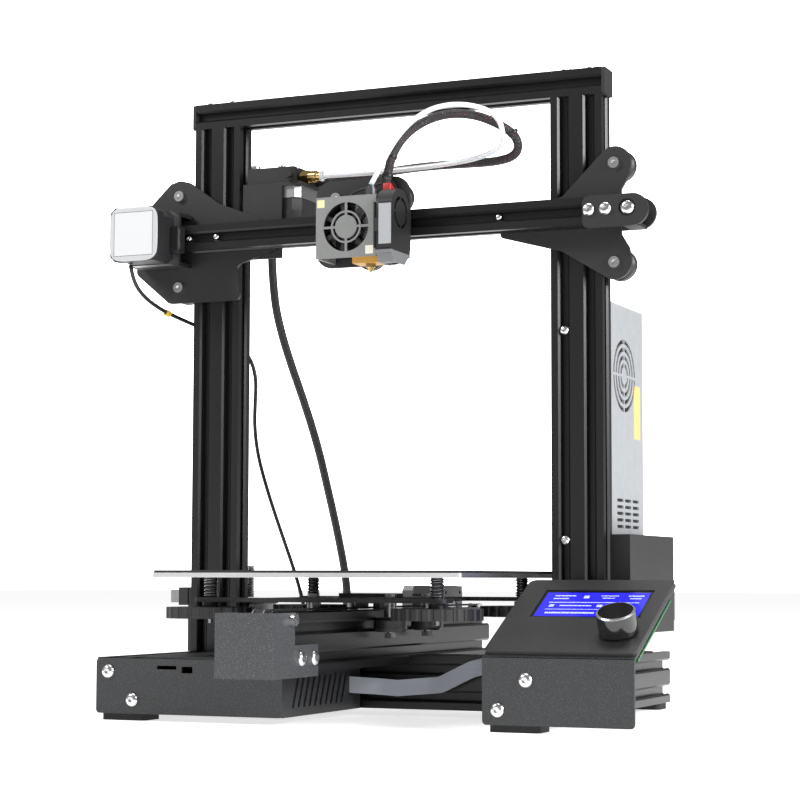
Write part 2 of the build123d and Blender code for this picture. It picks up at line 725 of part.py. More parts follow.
block_floor = drive_plate_z + plate
with BuildPart() as extruder_block:
    with Locations((-102.5, 15.5, block_floor + 1.25)):
        Box(39, 33, 2.5)
    with Locations((extruder_x, extruder_y, block_floor)):
        Cylinder(6.2, 10, mode=Mode.SUBTRACT)
    with Locations((-115.5, filament_y + 1, block_floor + 6.5)):
        Box(13, 9, 13)
    with Locations((-87, filament_y + 1, block_floor + 6.5)):
        Box(8, 11, 13)
    with Locations((-102.5, 26, block_floor + 6.5)):
        Box(39, 12, 13)
    with Locations(Location((-102.5, filament_y, filament_z), (0, 90, 0))):
        Cylinder(1.2, 60, mode=Mode.SUBTRACT)
extruder_block.part.label = "extruder_block"
export_step(extruder_block.part, "parts/extruder_block.step")

with BuildPart() as brass_fittings:
    with BuildSketch(Plane(origin=(-83, filament_y, filament_z), x_dir=(0, 1, 0), z_dir=(1, 0, 0))):
        RegularPolygon(5.6, 6)
    extrude(amount=7)
    with Locations(Location((-73, filament_y, filament_z), (0, 90, 0))):
        Cylinder(4.6, 6)
    with Locations(Location((-68.5, filament_y, filament_z), (0, 90, 0))):
        Cylinder(3.6, 3)
    with Locations(Location((-75, filament_y, filament_z), (0, 90, 0))):
        Cylinder(1.2, 30, mode=Mode.SUBTRACT)
    with Locations((screw_x, screw_y, drive_plate_z + 1.5)):
        Cylinder(5.2, 17)
    with Locations((screw_x, screw_y, drive_plate_z - 1.75)):
        Cylinder(10.8, 3.5)
    with Locations((screw_x, screw_y, drive_plate_z)):
        Cylinder(4 + running_gap, 30, mode=Mode.SUBTRACT)
brass_fittings.part.label = "brass_fittings"
export_step(brass_fittings.part, "parts/brass_fittings.step")

with BuildPart() as drive_gear:
    with BuildSketch(Plane.XY.offset(drive_plate_z - 12)):
        with Locations((extruder_x, extruder_y)):
            Circle(shaft_radius)
    extrude(amount=30)
    with BuildSketch(Plane.XY.offset(block_floor + 1)):
        with Locations((extruder_x, extruder_y)):
            Circle(5.3)
            with PolarLocations(5.5, 18):
                Circle(0.45, mode=Mode.SUBTRACT)
    extrude(amount=11)
drive_gear.part.label = "drive_gear"
export_step(drive_gear.part, "parts/drive_gear.step")

lever_pivot = (-118, -6)
with BuildPart() as extruder_lever:
    with BuildSketch(Plane.XY.offset(block_floor + 0.4)):
        Polygon((-123, -10), (-82, -10), (-82, -4.6), (-90, -3), (-109.5, -3), (-112, -2.4), (-123, -2.4), align=None)
        with Locations(lever_pivot):
            Circle(2 + running_gap, mode=Mode.SUBTRACT)
    extrude(amount=12)
    with Locations((extruder_x, -0.6, filament_z)):
        Cylinder(4.8, 5)
    with Locations(Location((-86, -6, filament_z), (90, 0, 0))):
        Cylinder(2.4, 20, mode=Mode.SUBTRACT)
extruder_lever.part.label = "extruder_lever"
export_step(extruder_lever.part, "parts/extruder_lever.step")

# ---- Print head ----

head_back = -38
carriage_wheel_spots = [(head_x - 22, gantry_z + 21), (head_x + 22, gantry_z + 21), (head_x, gantry_z - 21)]
with BuildPart() as head_plate:
    with BuildSketch(Plane.XZ.offset(-head_back)):
        with Locations((-9.3, 370)):
            RectangleRounded(77, 67, 13)
        with Locations(*carriage_wheel_spots):
            Circle(2.5, mode=Mode.SUBTRACT)
    extrude(amount=plate)
head_plate.part.label = "head_plate"
export_step(head_plate.part, "parts/head_plate.step")

with BuildPart() as head_wheels:
    for x, z in carriage_wheel_spots:
        with Locations(Location((x, rail_y, z), (90, 0, 0))):
            add(v_wheel())
head_wheels.part.label = "head_wheels"
export_step(head_wheels.part, "parts/head_wheels.step")

with BuildPart() as head_wheel_bolts:
    for x, z in carriage_wheel_spots:
        with Locations(Location((x, rail_y, z), (90, 0, 0))):
            add(wheel_bolt(rail_y - head_back + plate, 8.9))
        with Locations(Location((x, (head_back + rail_y - 5.5) / 2, z), (90, 0, 0))):
            Cylinder(4, 7.6)
head_wheel_bolts.part.label = "head_wheel_bolts"
export_step(head_wheel_bolts.part, "parts/head_wheel_bolts.step")

shroud_front = -72
shroud_z = 362
shroud_width = 49
shroud_height = 46
head_face = head_back - plate
with BuildPart() as fan_shroud:
    with Locations((head_x, (shroud_front + head_face) / 2, shroud_z)):
        Box(shroud_width, head_face - shroud_front, shroud_height)
        with Locations((2, 1.2, -2)):
            Box(shroud_width, head_face - shroud_front, shroud_height + 1.6, mode=Mode.SUBTRACT)
    with BuildSketch(Plane.XZ.offset(-shroud_front - 2)):
        with Locations((head_x, shroud_z)):
            Circle(18.4)
            Circle(12.2, mode=Mode.SUBTRACT)
            Circle(10.8)
            Circle(8.8, mode=Mode.SUBTRACT)
            Rectangle(40, 1.8, mode=Mode.SUBTRACT)
            Rectangle(1.8, 40, mode=Mode.SUBTRACT)
    extrude(amount=4, mode=Mode.SUBTRACT)
    with Locations((nozzle_x, nozzle_y, shroud_z + 22)):
        Cylinder(5.2, 10, mode=Mode.SUBTRACT)
    with Locations((25.2, -77.4, 361)):
        Box(9.6, 0.9, 34)
    with Locations((16.7, -59.4, 361)):
        Box(1, 36.8, 34)
    with Locations((21, -77.4, 361)):
        Box(9.6, 1, 10)
fan_shroud.part.label = "fan_shroud"
export_step(fan_shroud.part, "parts/fan_shroud.step")

fan_front = shroud_front + 1.2
with BuildPart() as hotend_fan:
    with BuildSketch(Plane.XZ.offset(-fan_front - 10)):
        with Locations((head_x, shroud_z)):
            RectangleRounded(40, 40, 3)
            Circle(18.6, mode=Mode.SUBTRACT)
    extrude(amount=10)
    with BuildSketch(Plane.XZ.offset(-fan_front - 10)):
        with Locations((head_x, shroud_z)):
            Rectangle(39, 3)
            Rectangle(3, 39)
            Circle(8)
    extrude(amount=1.5)
    with Locations(Location((head_x, fan_front + 6, shroud_z), (90, 0, 0))):
        Cylinder(1.5, 6)
hotend_fan.part.label = "hotend_fan"
export_step(hotend_fan.part, "parts/hotend_fan.step")

with BuildPart() as hotend_fan_rotor:
    with BuildSketch(Plane.XZ.offset(-fan_front - 7.5)):
        with Locations((head_x, shroud_z)):
            Circle(9)
            with PolarLocations(13, 7):
                Rectangle(10, 3.4)
            Circle(1.5 + running_gap, mode=Mode.SUBTRACT)
    extrude(amount=6.5)
hotend_fan_rotor.part.label = "hotend_fan_rotor"
export_step(hotend_fan_rotor.part, "parts/hotend_fan_rotor.step")

sink_low = 352
sink_high = 383
with BuildPart() as hotend:
    with Locations((nozzle_x - 2, (head_face - 60) / 2, (sink_low + sink_high) / 2)):
        Box(20, head_face + 60, sink_high - sink_low)
    with Locations((nozzle_x - 2, -52.5, (sink_low + sink_high) / 2)):
        with GridLocations(1, 1, 1, 1):
            for fin in range(7):
                with Locations((0, 0, (fin - 3) * 4.2)):
                    Box(24, 12, 1.8, mode=Mode.SUBTRACT)
    with Locations((nozzle_x, nozzle_y, 349)):
        Cylinder(3, 8)
    with Locations((nozzle_x - 2, -52.4, 341)):
        Box(22, 16, 10)
    with BuildSketch(Plane.XY.offset(336)):
        with Locations((nozzle_x, nozzle_y)):
            RegularPolygon(4, 6)
    extrude(amount=-3)
    with Locations((nozzle_x, nozzle_y, (nozzle_z + 333) / 2)):
        Cone(0.6, 3.2, 333 - nozzle_z)
    with Locations((nozzle_x, nozzle_y, (sink_high + 392) / 2)):
        Cylinder(4.6, 392 - sink_high)
    with Locations((nozzle_x, nozzle_y, 393)):
        Cylinder(3.6, 2.5)
hotend.part.label = "hotend"
export_step(hotend.part, "parts/hotend.step")

blower_left = 17.4
blower_right = 30
blower_y = -59
blower_z = 372
blower_radius = 17.8
with BuildPart() as blower:
    with BuildSketch(Plane.YZ.offset(blower_left)):
        with Locations((blower_y, blower_z)):
            Circle(blower_radius)
        with Locations((blower_y, blower_z - 16)):
            Rectangle(2 * blower_radius, 32)
    extrude(amount=blower_right - blower_left)
    with BuildSketch(Plane.YZ.offset(blower_left)):
        Polygon((blower_y - blower_radius, 343), (blower_y + blower_radius, 343), (blower_y + 8, 334),
                (blower_y - 12, 334), align=None)
    extrude(amount=blower_right - blower_left)
    with BuildSketch(Plane.YZ.offset(blower_left + 1.4)):
        with Locations((blower_y, blower_z)):
            Circle(blower_radius - 1.4)
        with Locations((blower_y + 5.5, blower_z - 21)):
            Rectangle(20, 44)
    extrude(amount=blower_right - blower_left - 2.8, mode=Mode.SUBTRACT)
    with BuildSketch(Plane.YZ.offset(blower_right - 2)):
        with Locations((blower_y, blower_z)):
            Circle(12)
            Circle(9.6, mode=Mode.SUBTRACT)
            Rectangle(30, 2, mode=Mode.SUBTRACT)
            Rectangle(2, 30, mode=Mode.SUBTRACT)
    extrude(amount=4, mode=Mode.SUBTRACT)
    with Locations(Location((blower_right - 3, blower_y, blower_z), (0, 90, 0))):
        Cylinder(1.5, 6)
blower.part.label = "blower"
export_step(blower.part, "parts/blower.step")

with BuildPart() as blower_rotor:
    with BuildSketch(Plane.YZ.offset(blower_left + 1.8)):
        with Locations((blower_y, blower_z)):
            Circle(7)
            with PolarLocations(10, 16):
                Rectangle(7.4, 1)
            Circle(1.5 + running_gap, mode=Mode.SUBTRACT)
    extrude(amount=8.2)
blower_rotor.part.label = "blower_rotor"
export_step(blower_rotor.part, "parts/blower_rotor.step")

# ---- Heated bed ----

with BuildPart() as bed_plate:
    with BuildSketch(Plane.XY.offset(bed_z)):
        with Locations((0, bed_y)):
            RectangleRounded(bed_width, bed_width, 3)
            with GridLocations(2 * level_x, 2 * level_y, 2, 2):
                Circle(1.8, mode=Mode.SUBTRACT)
    extrude(amount=3.3)
bed_plate.part.label = "bed_plate"
export_step(bed_plate.part, "parts/bed_plate.step")

with BuildPart() as build_surface:
    with BuildSketch(Plane.XY.offset(bed_z + 3.3)):
        with Locations((0, bed_y)):
            RectangleRounded(bed_width - 1, bed_width - 1, 3)
    extrude(amount=1.8)
build_surface.part.label = "build_surface"
export_step(build_surface.part, "parts/build_surface.step")

bed_wheel_x = 30.8
bed_wheel_y = (-78, -9)
with BuildPart() as bed_carriage:
    with BuildSketch(Plane.XY.offset(deck_z)):
        with Locations((0, bed_y)):
            RectangleRounded(96, 2 * level_y + 20, 6)
            with Locations((0, level_y), (0, -level_y)):
                RectangleRounded(2 * level_x + 20, 20, 6)
            Rectangle(34, 100, mode=Mode.SUBTRACT)
            with GridLocations(2 * level_x, 2 * level_y, 2, 2):
                Circle(1.8, mode=Mode.SUBTRACT)
        with Locations(*[(side * bed_wheel_x, y) for side in (-1, 1) for y in bed_wheel_y]):
            Circle(2.5, mode=Mode.SUBTRACT)
    extrude(amount=plate)
    with Locations((0, bed_y, deck_z + plate + 1.5)):
        Box(46, 14, 3)
    with Locations((7, bed_y, 84.2)):
        Box(5, 12, 9)
    with Locations((-7, bed_y, 84.2)):
        Box(5, 12, 9)
    with Locations((0, bed_y, deck_z + 1.6)):
        Box(16, 12, 6.2)
bed_carriage.part.label = "bed_carriage"
export_step(bed_carriage.part, "parts/bed_carriage.step")

with BuildPart() as bed_wheels:
    for side in (-1, 1):
        for y in bed_wheel_y:
            with Locations((side * bed_wheel_x, y, beam_y_low + 1.5 * module)):
                add(v_wheel())
bed_wheels.part.label = "bed_wheels"
export_step(bed_wheels.part, "parts/bed_wheels.step")

wheel_drop = deck_z - (beam_y_low + 1.5 * module)
level_spots = [(side * level_x, bed_y + back * level_y) for side in (-1, 1) for back in (-1, 1)]
deck_top = deck_z + plate
with BuildPart() as bed_hardware:
    for x, y in level_spots:
        with BuildSketch(Plane.XY.offset(deck_top)):
            with Locations((x, y)):
                Circle(4)
                Circle(2.2, mode=Mode.SUBTRACT)
        extrude(amount=bed_z - deck_top)
    for side in (-1, 1):
        for y in bed_wheel_y:
            with Locations((side * bed_wheel_x, y, beam_y_low + 1.5 * module)):
                add(wheel_bolt(wheel_drop + plate, 9.5))
            with Locations((side * bed_wheel_x, y, deck_z - 5.5)):
                Cylinder(4.5, 11)
    for x, y in level_spots:
        with BuildSketch(Plane.XY.offset(70)):
            with Locations((x, y)):
                Circle(1.75)
        extrude(amount=bed_z + 3.3 - 70)
bed_hardware.part.label = "bed_hardware"
export_step(bed_hardware.part, "parts/bed_hardware.step")

for name, (x, y) in zip(("front_left", "rear_left", "front_right", "rear_right"), level_spots):
    with BuildPart() as level_knob:
        with BuildSketch(Plane.XY.offset(73.5)):
            with Locations((x, y)):
                Circle(32)
                with PolarLocations(33.6, 24):
                    Circle(2.6, mode=Mode.SUBTRACT)
                Circle(1.75 + running_gap, mode=Mode.SUBTRACT)
        extrude(amount=8)
        with BuildSketch(Plane.XY.offset(81.5)):
            with Locations((x, y)):
                Circle(6)
                Circle(1.75 + running_gap, mode=Mode.SUBTRACT)
        extrude(amount=deck_z - 0.3 - 81.5)
    level_knob.part.label = "level_knob_" + name
    export_step(level_knob.part, "parts/level_knob_" + name + ".step")

# ---- Switches and screws ----

with BuildPart() as lift_switch:
    with Locations((-171.2, -2, 70)):
        Box(2.4, 16, 50)
    with Locations((-176.4, -5, 88)):
        Box(8, 12, 14)
    with Locations((-184.4, -5, 88)):
        Box(8, 8, 10)
lift_switch.part.label = "lift_switch"
export_step(lift_switch.part, "parts/lift_switch.step")

with BuildPart() as x_switch:
    with Locations((-167, -43, 366)):
        Box(6.6, 11, 20)
    with Locations((-163, -47.5, 366)):
        Box(1.4, 2, 16)
x_switch.part.label = "x_switch"
export_step(x_switch.part, "parts/x_switch.step")

facing_front = (90, 0, 0)
frame_screw = button_screw(4.9, 2.9, 2, 5)
frame_screw_places = [Location((side * x, panel_front, z), facing_front)
                      for side in (-1, 1) for x, z in ((160, 35), (140, 15))]
frame_screw_places += [Location((side * 22, y, beam_y_low + module / 2), (0, side * 90, 0))
                       for side in (-1, 1) for y in bracket_screw_y]
frame_screw_places += [Location((side * x, 0, total_height), (0, 0, 0)) for side in (-1, 1) for x in (140, 160)]
with BuildPart() as frame_screws:
    for place in frame_screw_places:
        with Locations(place):
            add(frame_screw)
    for x, z in ((140.3, 285), (140.3, 130.5)):
        with Locations(Location((x, 1.1 - module / 2, z), facing_front)):
            add(button_screw(3.4, 2, 2, 4.8))
    with Locations(Location((0, y_idler_y, belt_z), across)):
        Cylinder(shaft_radius, 44)
    for side in (-1, 1):
        with Locations(Location((side * 24, y_idler_y, belt_z), across)):
            Cylinder(4.2, 4)
    for side in (-1, 1):
        with Locations(Location((side * 12.7, y_idler_y, belt_z), across)):
            Cylinder(4, 14.6)
frame_screws.part.label = "frame_screws"
export_step(frame_screws.part, "parts/frame_screws.step")

with BuildPart() as gantry_bolts:
    for x in (-163, -139, 97):
        with Locations(Location((x, rail_face + 3.4, gantry_z), facing_front)):
            add(button_screw(2.4, 1.6, 1.5, 2.4))
    for x in idler_screw_x:
        with Locations(Location((x, rail_face - plate, gantry_z), facing_front)):
            add(button_screw(4.6, 2.6, 2, 6))
    with Locations(Location((x_idler_x, rail_face - 1.5, gantry_z), (90, 0, 0))):
        add(button_screw(5.2, 2.8, shaft_radius, 22))
    with Locations(Location((x_idler_x, (rail_face + rail_y) / 2 - 2.3, gantry_z), (90, 0, 0))):
        Cylinder(4, 4.6)
        Cylinder(shaft_radius, 4.6)
    for x, y, z in lift_wheel_spots:
        reach = -gantry_front if z != gantry_z else -gantry_front - 3.2
        with Locations(Location((x, y, z), (90, 0, 0))):
            add(wheel_bolt(reach, 11))
        with Locations(Location((x, -8.4, z), (90, 0, 0))):
            Cylinder(4.5, 6.2)
    with Locations((lever_pivot[0], lever_pivot[1], block_floor + 6.6)):
        Cylinder(2, 13.2)
    with Locations((lever_pivot[0], lever_pivot[1], block_floor + 14)):
        Cylinder(4, 2)
    with Locations(Location((-86, -6.8, filament_z), (90, 0, 0))):
        Cylinder(1.2, 17)
    with Locations(Location((-86, -16, filament_z), (90, 0, 0))):
        Cylinder(4.2, 2.4)
gantry_bolts.part.label = "gantry_bolts"
export_step(gantry_bolts.part, "parts/gantry_bolts.step")

# ---- Tubes and cables ----

tube_route = [(-66.8, filament_y, filament_z), (-48, 5.6, 417.6), (-24, 4.4, 417), (2, 2.2, 417.1), (27, -0.5, 417.2),
              (49, -3.4, 417.8), (70, -7, 419), (86, -12, 422.2), (95.5, -16, 427.4), (96.5, -21.2, 434.6),
              (95.5, -24.8, 442.6), (89, -28, 449.8), (75, -31, 454.8), (60, -34.5, 456), (45.5, -38.5, 453),
              (33.5, -42.5, 445.3), (23.5, -46.5, 434.2), (15.5, -50, 420.6), (9.6, -53, 406.5),
              (nozzle_x, nozzle_y, 395.3)]
with BuildPart() as bowden_tube:
    add(cord_tube(tube_route, 4, "bowden_tube"))
bowden_tube.part.label = "bowden_tube"
export_step(bowden_tube.part, "parts/bowden_tube.step")

sleeve_route = [(13, -48.2, 387.7), (13.4, -46.3, 403), (15.7, -43.5, 417.7), (21.3, -40.5, 430), (30.9, -37, 440.2),
                (44.3, -33, 447.5), (59.6, -29, 450.4), (75.6, -24.6, 448.6), (89.6, -19.6, 443), (102, -13.2, 435),
                (105.6, -9.6, 425.6), (99.4, -5, 418.4), (82, -0.5, 416.8), (60, 5, 418.2), (36.6, 10, 419.7),
                (11.7, 15.5, 420.6), (-13.6, 21, 420.3), (-39.3, 26.5, 419.6), (-65.4, 32, 418.9), (-91.7, 37, 416.8)]
with BuildPart() as loop_sleeve:
    add(cord_tube(sleeve_route, 7, "loop_sleeve"))
loop_sleeve.part.label = "loop_sleeve"
export_step(loop_sleeve.part, "parts/loop_sleeve.step")

hanging_route = [(-92.1, 37.07, 416.78), (-107, 39.9, 415.5), (-120, 42, 406.5), (-127.5, 44, 390), (-130.4, 48, 366),
                 (-131.5, 53.5, 341), (-132, 60, 321), (-131, 70, 300), (-128.4, 82, 277), (-125, 94.5, 254),
                 (-122, 107, 230), (-120, 119.5, 206), (-119.3, 132, 181), (-119.5, 146, 157), (-120, 159, 134),
                 (-119.4, 168, 112), (-118, 171, 93), (-116.4, 168, 76), (-114, 157.5, 62), (-110.6, 142, 54),
                 (-106, 122, 51.4), (-100, 98, 51), (-93.4, 72, 51.6), (-87, 46, 52.3), (-81.6, 20, 52.7),
                 (-77.4, -6, 52.4), (-75, -31.4, 51.5)]
with BuildPart() as hanging_sleeve:
    add(cord_tube(hanging_route, 7, "hanging_sleeve"))
hanging_sleeve.part.label = "hanging_sleeve"
export_step(hanging_sleeve.part, "parts/hanging_sleeve.step")

lead_route = [(-205, -50, 347.3), (-204.6, -46.5, 334.6), (-200.6, -35, 323), (-194.6, -19, 315), (-188.4, -2, 310),
              (-181.8, 15, 305.5), (-172, 31, 300.4), (-160, 43.5, 293.4), (-150, 50, 281.5), (-145.6, 52, 264.6),
              (-147.4, 54, 246), (-150.4, 58.6, 226.6), (-151.6, 67, 204), (-151, 80, 180.6), (-150.4, 95, 158.4),
              (-150.2, 111, 137.6), (-149, 125.6, 116.4), (-146, 136.4, 93.4), (-142, 141, 69),
              (-140, 141, 43.6)]
with BuildPart() as motor_lead:
    add(cord_tube(lead_route, 3.4, "motor_lead"))
motor_lead.part.label = "motor_lead"
export_step(motor_lead.part, "parts/motor_lead.step")
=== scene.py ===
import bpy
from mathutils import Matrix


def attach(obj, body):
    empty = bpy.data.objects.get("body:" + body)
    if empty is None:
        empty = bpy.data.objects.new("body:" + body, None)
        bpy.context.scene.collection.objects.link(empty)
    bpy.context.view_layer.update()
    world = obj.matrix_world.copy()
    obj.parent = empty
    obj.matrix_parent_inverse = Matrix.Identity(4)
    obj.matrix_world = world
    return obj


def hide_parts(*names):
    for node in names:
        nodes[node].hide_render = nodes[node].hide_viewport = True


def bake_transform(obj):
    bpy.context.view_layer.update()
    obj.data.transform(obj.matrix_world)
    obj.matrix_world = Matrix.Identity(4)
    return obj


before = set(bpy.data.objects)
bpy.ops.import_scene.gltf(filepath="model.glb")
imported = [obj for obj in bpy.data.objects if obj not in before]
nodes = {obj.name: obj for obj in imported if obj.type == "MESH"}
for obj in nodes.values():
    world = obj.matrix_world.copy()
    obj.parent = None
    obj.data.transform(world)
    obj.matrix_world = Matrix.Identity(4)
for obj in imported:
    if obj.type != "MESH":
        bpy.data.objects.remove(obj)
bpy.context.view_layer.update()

import math

import bpy
import numpy as np
from mathutils import Matrix

print("frame loaded:", len(nodes), "nodes")


camera = {
    "place": (0.642138, -1.484490, 0.102703),   # metres
    "turn": 0.405740,       # to the left of straight back
    "lift": 0.083696,       # looking slightly up
    "roll": 0.0023,
    "lens": 95.38,          # mm on a 36 mm sensor
}
cameraData = bpy.data.cameras.new("camera")
cameraData.lens = camera["lens"]
cameraData.sensor_width = 36
cameraData.clip_start = 0.01
cameraData.clip_end = 100
cameraObject = bpy.data.objects.new("camera", cameraData)
bpy.context.scene.collection.objects.link(cameraObject)
cameraObject.matrix_world = (
    Matrix.Translation(camera["place"])
    @ Matrix.Rotation(camera["turn"], 4, "Z")
    @ Matrix.Rotation(math.pi / 2 + camera["lift"], 4, "X")
    @ Matrix.Rotation(camera["roll"], 4, "Z")
)
bpy.context.scene.camera = cameraObject
print("camera set")


class Wire:
    # a socket that can stand in an expression
    def __init__(self, shader, socket):
        self.shader = shader
        self.socket = socket

    def math(self, operation, first, second):
        return self.shader.node("ShaderNodeMath", {"operation": operation}, [first, second])

    def __add__(self, other):
        return self.math("ADD", self, other)

    def __radd__(self, other):
        return self.math("ADD", other, self)

    def __sub__(self, other):
        return self.math("SUBTRACT", self, other)

    def __rsub__(self, other):
        return self.math("SUBTRACT", other, self)

    def __mul__(self, other):
        return self.math("MULTIPLY", self, other)

    def __rmul__(self, other):
        return self.math("MULTIPLY", other, self)

    def __gt__(self, other):
        return self.math("GREATER_THAN", self, other)

    def __lt__(self, other):
        return self.math("LESS_THAN", self, other)


class Shader:
    def __init__(self, name):
        self.material = bpy.data.materials.new(name)
        self.material.use_nodes = True
        self.tree = self.material.node_tree
        self.tree.nodes.clear()
        self.skin = self.tree.nodes.new("ShaderNodeBsdfPrincipled")
        end = self.tree.nodes.new("ShaderNodeOutputMaterial")
        self.tree.links.new(self.skin.outputs[0], end.inputs[0])
        self.spot = None

    def node(self, kind, settings, values, out=0):
        made = self.tree.nodes.new(kind)
        for key, value in settings.items():
            setattr(made, key, value)
        pairs = values.items() if isinstance(values, dict) else enumerate(values)
        for key, value in pairs:
            self.feed(made.inputs[key], value)
        return Wire(self, made.outputs[out])

    def feed(self, socket, value):
        if isinstance(value, Wire):
            self.tree.links.new(value.socket, socket)
        else:
            socket.default_value = value

    def place(self):
        # the point in the object's own metres, and its three parts
        if self.spot is None:
            self.spot = self.node("ShaderNodeTexCoord", {}, {}, "Object")
            parts = [self.node("ShaderNodeSeparateXYZ", {}, [self.spot], i) for i in range(3)]
            self.x, self.y, self.z = parts
        return self.spot

    def stretched(self, scales):
        return self.node("ShaderNodeVectorMath", {"operation": "MULTIPLY"}, [self.place(), scales])

    def noise(self, scales, detail=2.0):
        values = {"Vector": self.stretched(scales), "Scale": 1.0, "Detail": detail}
        return self.node("ShaderNodeTexNoise", {}, values)

    def mixColour(self, mask, first, second):
        values = {0: mask, 6: first, 7: second}
        return self.node("ShaderNodeMix", {"data_type": "RGBA"}, values, 2)

    def mixNumber(self, mask, first, second):
        return self.node("ShaderNodeMix", {"data_type": "FLOAT"}, {0: mask, 2: first, 3: second})

    def inside(self, low, high):
        # 1 inside the box from low to high, 0 outside; None leaves a side open
        self.place()
        mask = 1.0
        for part, least, most in zip((self.x, self.y, self.z), low, high):
            if least is not None:
                mask = (part > least) * mask
            if most is not None:
                mask = (part < most) * mask
        return mask

    def above(self, centre, normal, height):
        # 1 where the height over centre along normal is more than the given one
        offset = self.node("ShaderNodeVectorMath", {"operation": "SUBTRACT"}, [self.place(), centre])
        rise = self.node("ShaderNodeVectorMath", {"operation": "DOT_PRODUCT"}, [offset, normal], 1)
        return rise > height

    def ring(self, centre, normal, inner, outer):
        # 1 where the distance from the line through centre along normal lies between the two radii
        offset = self.node("ShaderNodeVectorMath", {"operation": "SUBTRACT"}, [self.place(), centre])
        across = self.node("ShaderNodeVectorMath", {"operation": "CROSS_PRODUCT"}, [offset, normal])
        reach = self.node("ShaderNodeVectorMath", {"operation": "LENGTH"}, [across], 1)
        return (reach > inner) * (reach < outer)


def rgba(colour):
    return (*colour, 1.0)


def makeFinish(name, look):
    # base colour drifts between two tones in soft clouds, a fine grain breaks the gloss and lifts the bump,
    # and each patch in the look paints over one region
    shader = Shader(name)
    skin = shader.skin.inputs
    grain = shader.noise(look["grain"], 3.0)
    cloud = shader.noise(look.get("cloud", (25, 25, 25)), 2.0)
    colour = shader.mixColour(cloud, rgba(look["dark"]), rgba(look["light"]))
    if "fleck" in look:
        fleckMask = shader.noise(look["fleckGrain"], 1.0) > look["fleckAbove"]
        colour = shader.mixColour(fleckMask, colour, rgba(look["fleck"]))
    rough = (grain - 0.5) * look.get("roughSpread", 0.15) + look["rough"]
    metal = look.get("metal", 0.0)
    for patch in look.get("patches", ()):
        mask = 1.0
        if "box" in patch:
            mask = shader.inside(*patch["box"])
        if "ring" in patch:
            mask = shader.ring(*patch["ring"]) * mask
        if "above" in patch:
            mask = shader.above(*patch["above"]) * mask
        colour = shader.mixColour(mask, colour, rgba(patch["colour"]))
        rough = shader.mixNumber(mask, rough, patch["rough"])
        metal = shader.mixNumber(mask, metal, patch.get("metal", 0.0))
    height = grain
    if "thread" in look:
        # a helix: distance along the axis plus the angle round it, as a sawtooth
        thread = look["thread"]
        shader.place()
        angle = shader.node("ShaderNodeMath", {"operation": "ARCTAN2"},
                            [shader.y - thread["y"], shader.x - thread["x"]])
        turns = shader.z * (1 / thread["pitch"]) + angle * (thread["starts"] / (2 * math.pi))
        height = shader.node("ShaderNodeMath", {"operation": "PINGPONG"}, [turns, 0.5]) * thread["depth"]
        # the grooves are painted darker than the crests, down to the look's dark tone: painted shade in the
        # grooves
        colour = shader.mixColour(height * (0.9 / thread["depth"]), rgba(look["dark"]), colour)
    shader.feed(skin["Base Color"], colour)
    shader.feed(skin["Roughness"], rough)
    shader.feed(skin["Metallic"], metal)
    for socket, value in look.get("fixed", {}).items():
        skin[socket].default_value = value
    bump = {"Strength": look.get("bump", 0.3), "Distance": look.get("bumpDepth", 0.0001), "Height": height}
    shader.feed(skin["Normal"], shader.node("ShaderNodeBump", {}, bump))
    return shader.material


def dress(nodeName, material):
    mesh = nodes[nodeName].data
    mesh.materials.clear()
    mesh.materials.append(material)


open3 = (None, None, None)    # a corner that leaves all three sides of a patch open
bright = {"colour": (0.72, 0.73, 0.74), "rough": 0.28, "metal": 1.0}

beamLook = {
    "dark": (0.005, 0.005, 0.0056), "light": (0.010, 0.010, 0.011),
    "rough": 0.32, "roughSpread": 0.14, "bump": 0.12, "bumpDepth": 0.00005,
    "fixed": {"Specular IOR Level": 0.40},
}
uprightFinish = makeFinish("anodisedUpright", {**beamLook, "grain": (2600, 2600, 14), "cloud": (60, 60, 3)})
acrossFinish = makeFinish("anodisedAcross", {**beamLook, "grain": (14, 2600, 2600), "cloud": (3, 60, 60)})
alongFinish = makeFinish("anodisedAlong", {**beamLook, "grain": (2600, 14, 2600), "cloud": (60, 3, 60)})
powderLook = {
    "dark": (0.018, 0.019, 0.020), "light": (0.030, 0.031, 0.033), "grain": (1500, 1500, 1500),
    "cloud": (900, 900, 900), "rough": 0.46, "roughSpread": 0.22, "bump": 0.45, "bumpDepth": 0.00018,
    "fleck": (0.075, 0.078, 0.082), "fleckGrain": (1300, 1300, 1300), "fleckAbove": 0.64,
}
powderFinish = makeFinish("greyPowderCoat", powderLook)
bracketFinish = makeFinish("bracketPowderCoat", {
    **powderLook, "dark": (0.034, 0.036, 0.039), "light": (0.054, 0.057, 0.061),
    "fleck": (0.11, 0.115, 0.12)})
plateLook = {
    "dark": (0.009, 0.009, 0.010), "light": (0.017, 0.017, 0.018), "grain": (1400, 1400, 1400),
    "rough": 0.48, "roughSpread": 0.2, "bump": 0.35, "bumpDepth": 0.00012,
}
plateFinish = makeFinish("blackPlate", plateLook)
mouldedLook = {
    "dark": (0.009, 0.009, 0.009), "light": (0.016, 0.016, 0.017), "grain": (1900, 1900, 1900),
    "rough": 0.42, "roughSpread": 0.16, "bump": 0.25, "bumpDepth": 0.00008,
}
mouldedFinish = makeFinish("mouldedBlack", mouldedLook)
rubberFinish = makeFinish("blackRubber", {
    **mouldedLook, "rough": 0.68, "grain": (1100, 1100, 1100), "bump": 0.4})
steelLook = {
    "dark": (0.62, 0.62, 0.63), "light": (0.80, 0.80, 0.81), "grain": (1200, 1200, 1200),
    "rough": 0.24, "roughSpread": 0.14, "metal": 1.0, "bump": 0.05, "bumpDepth": 0.00002,
}
steelFinish = makeFinish("brightSteel", steelLook)
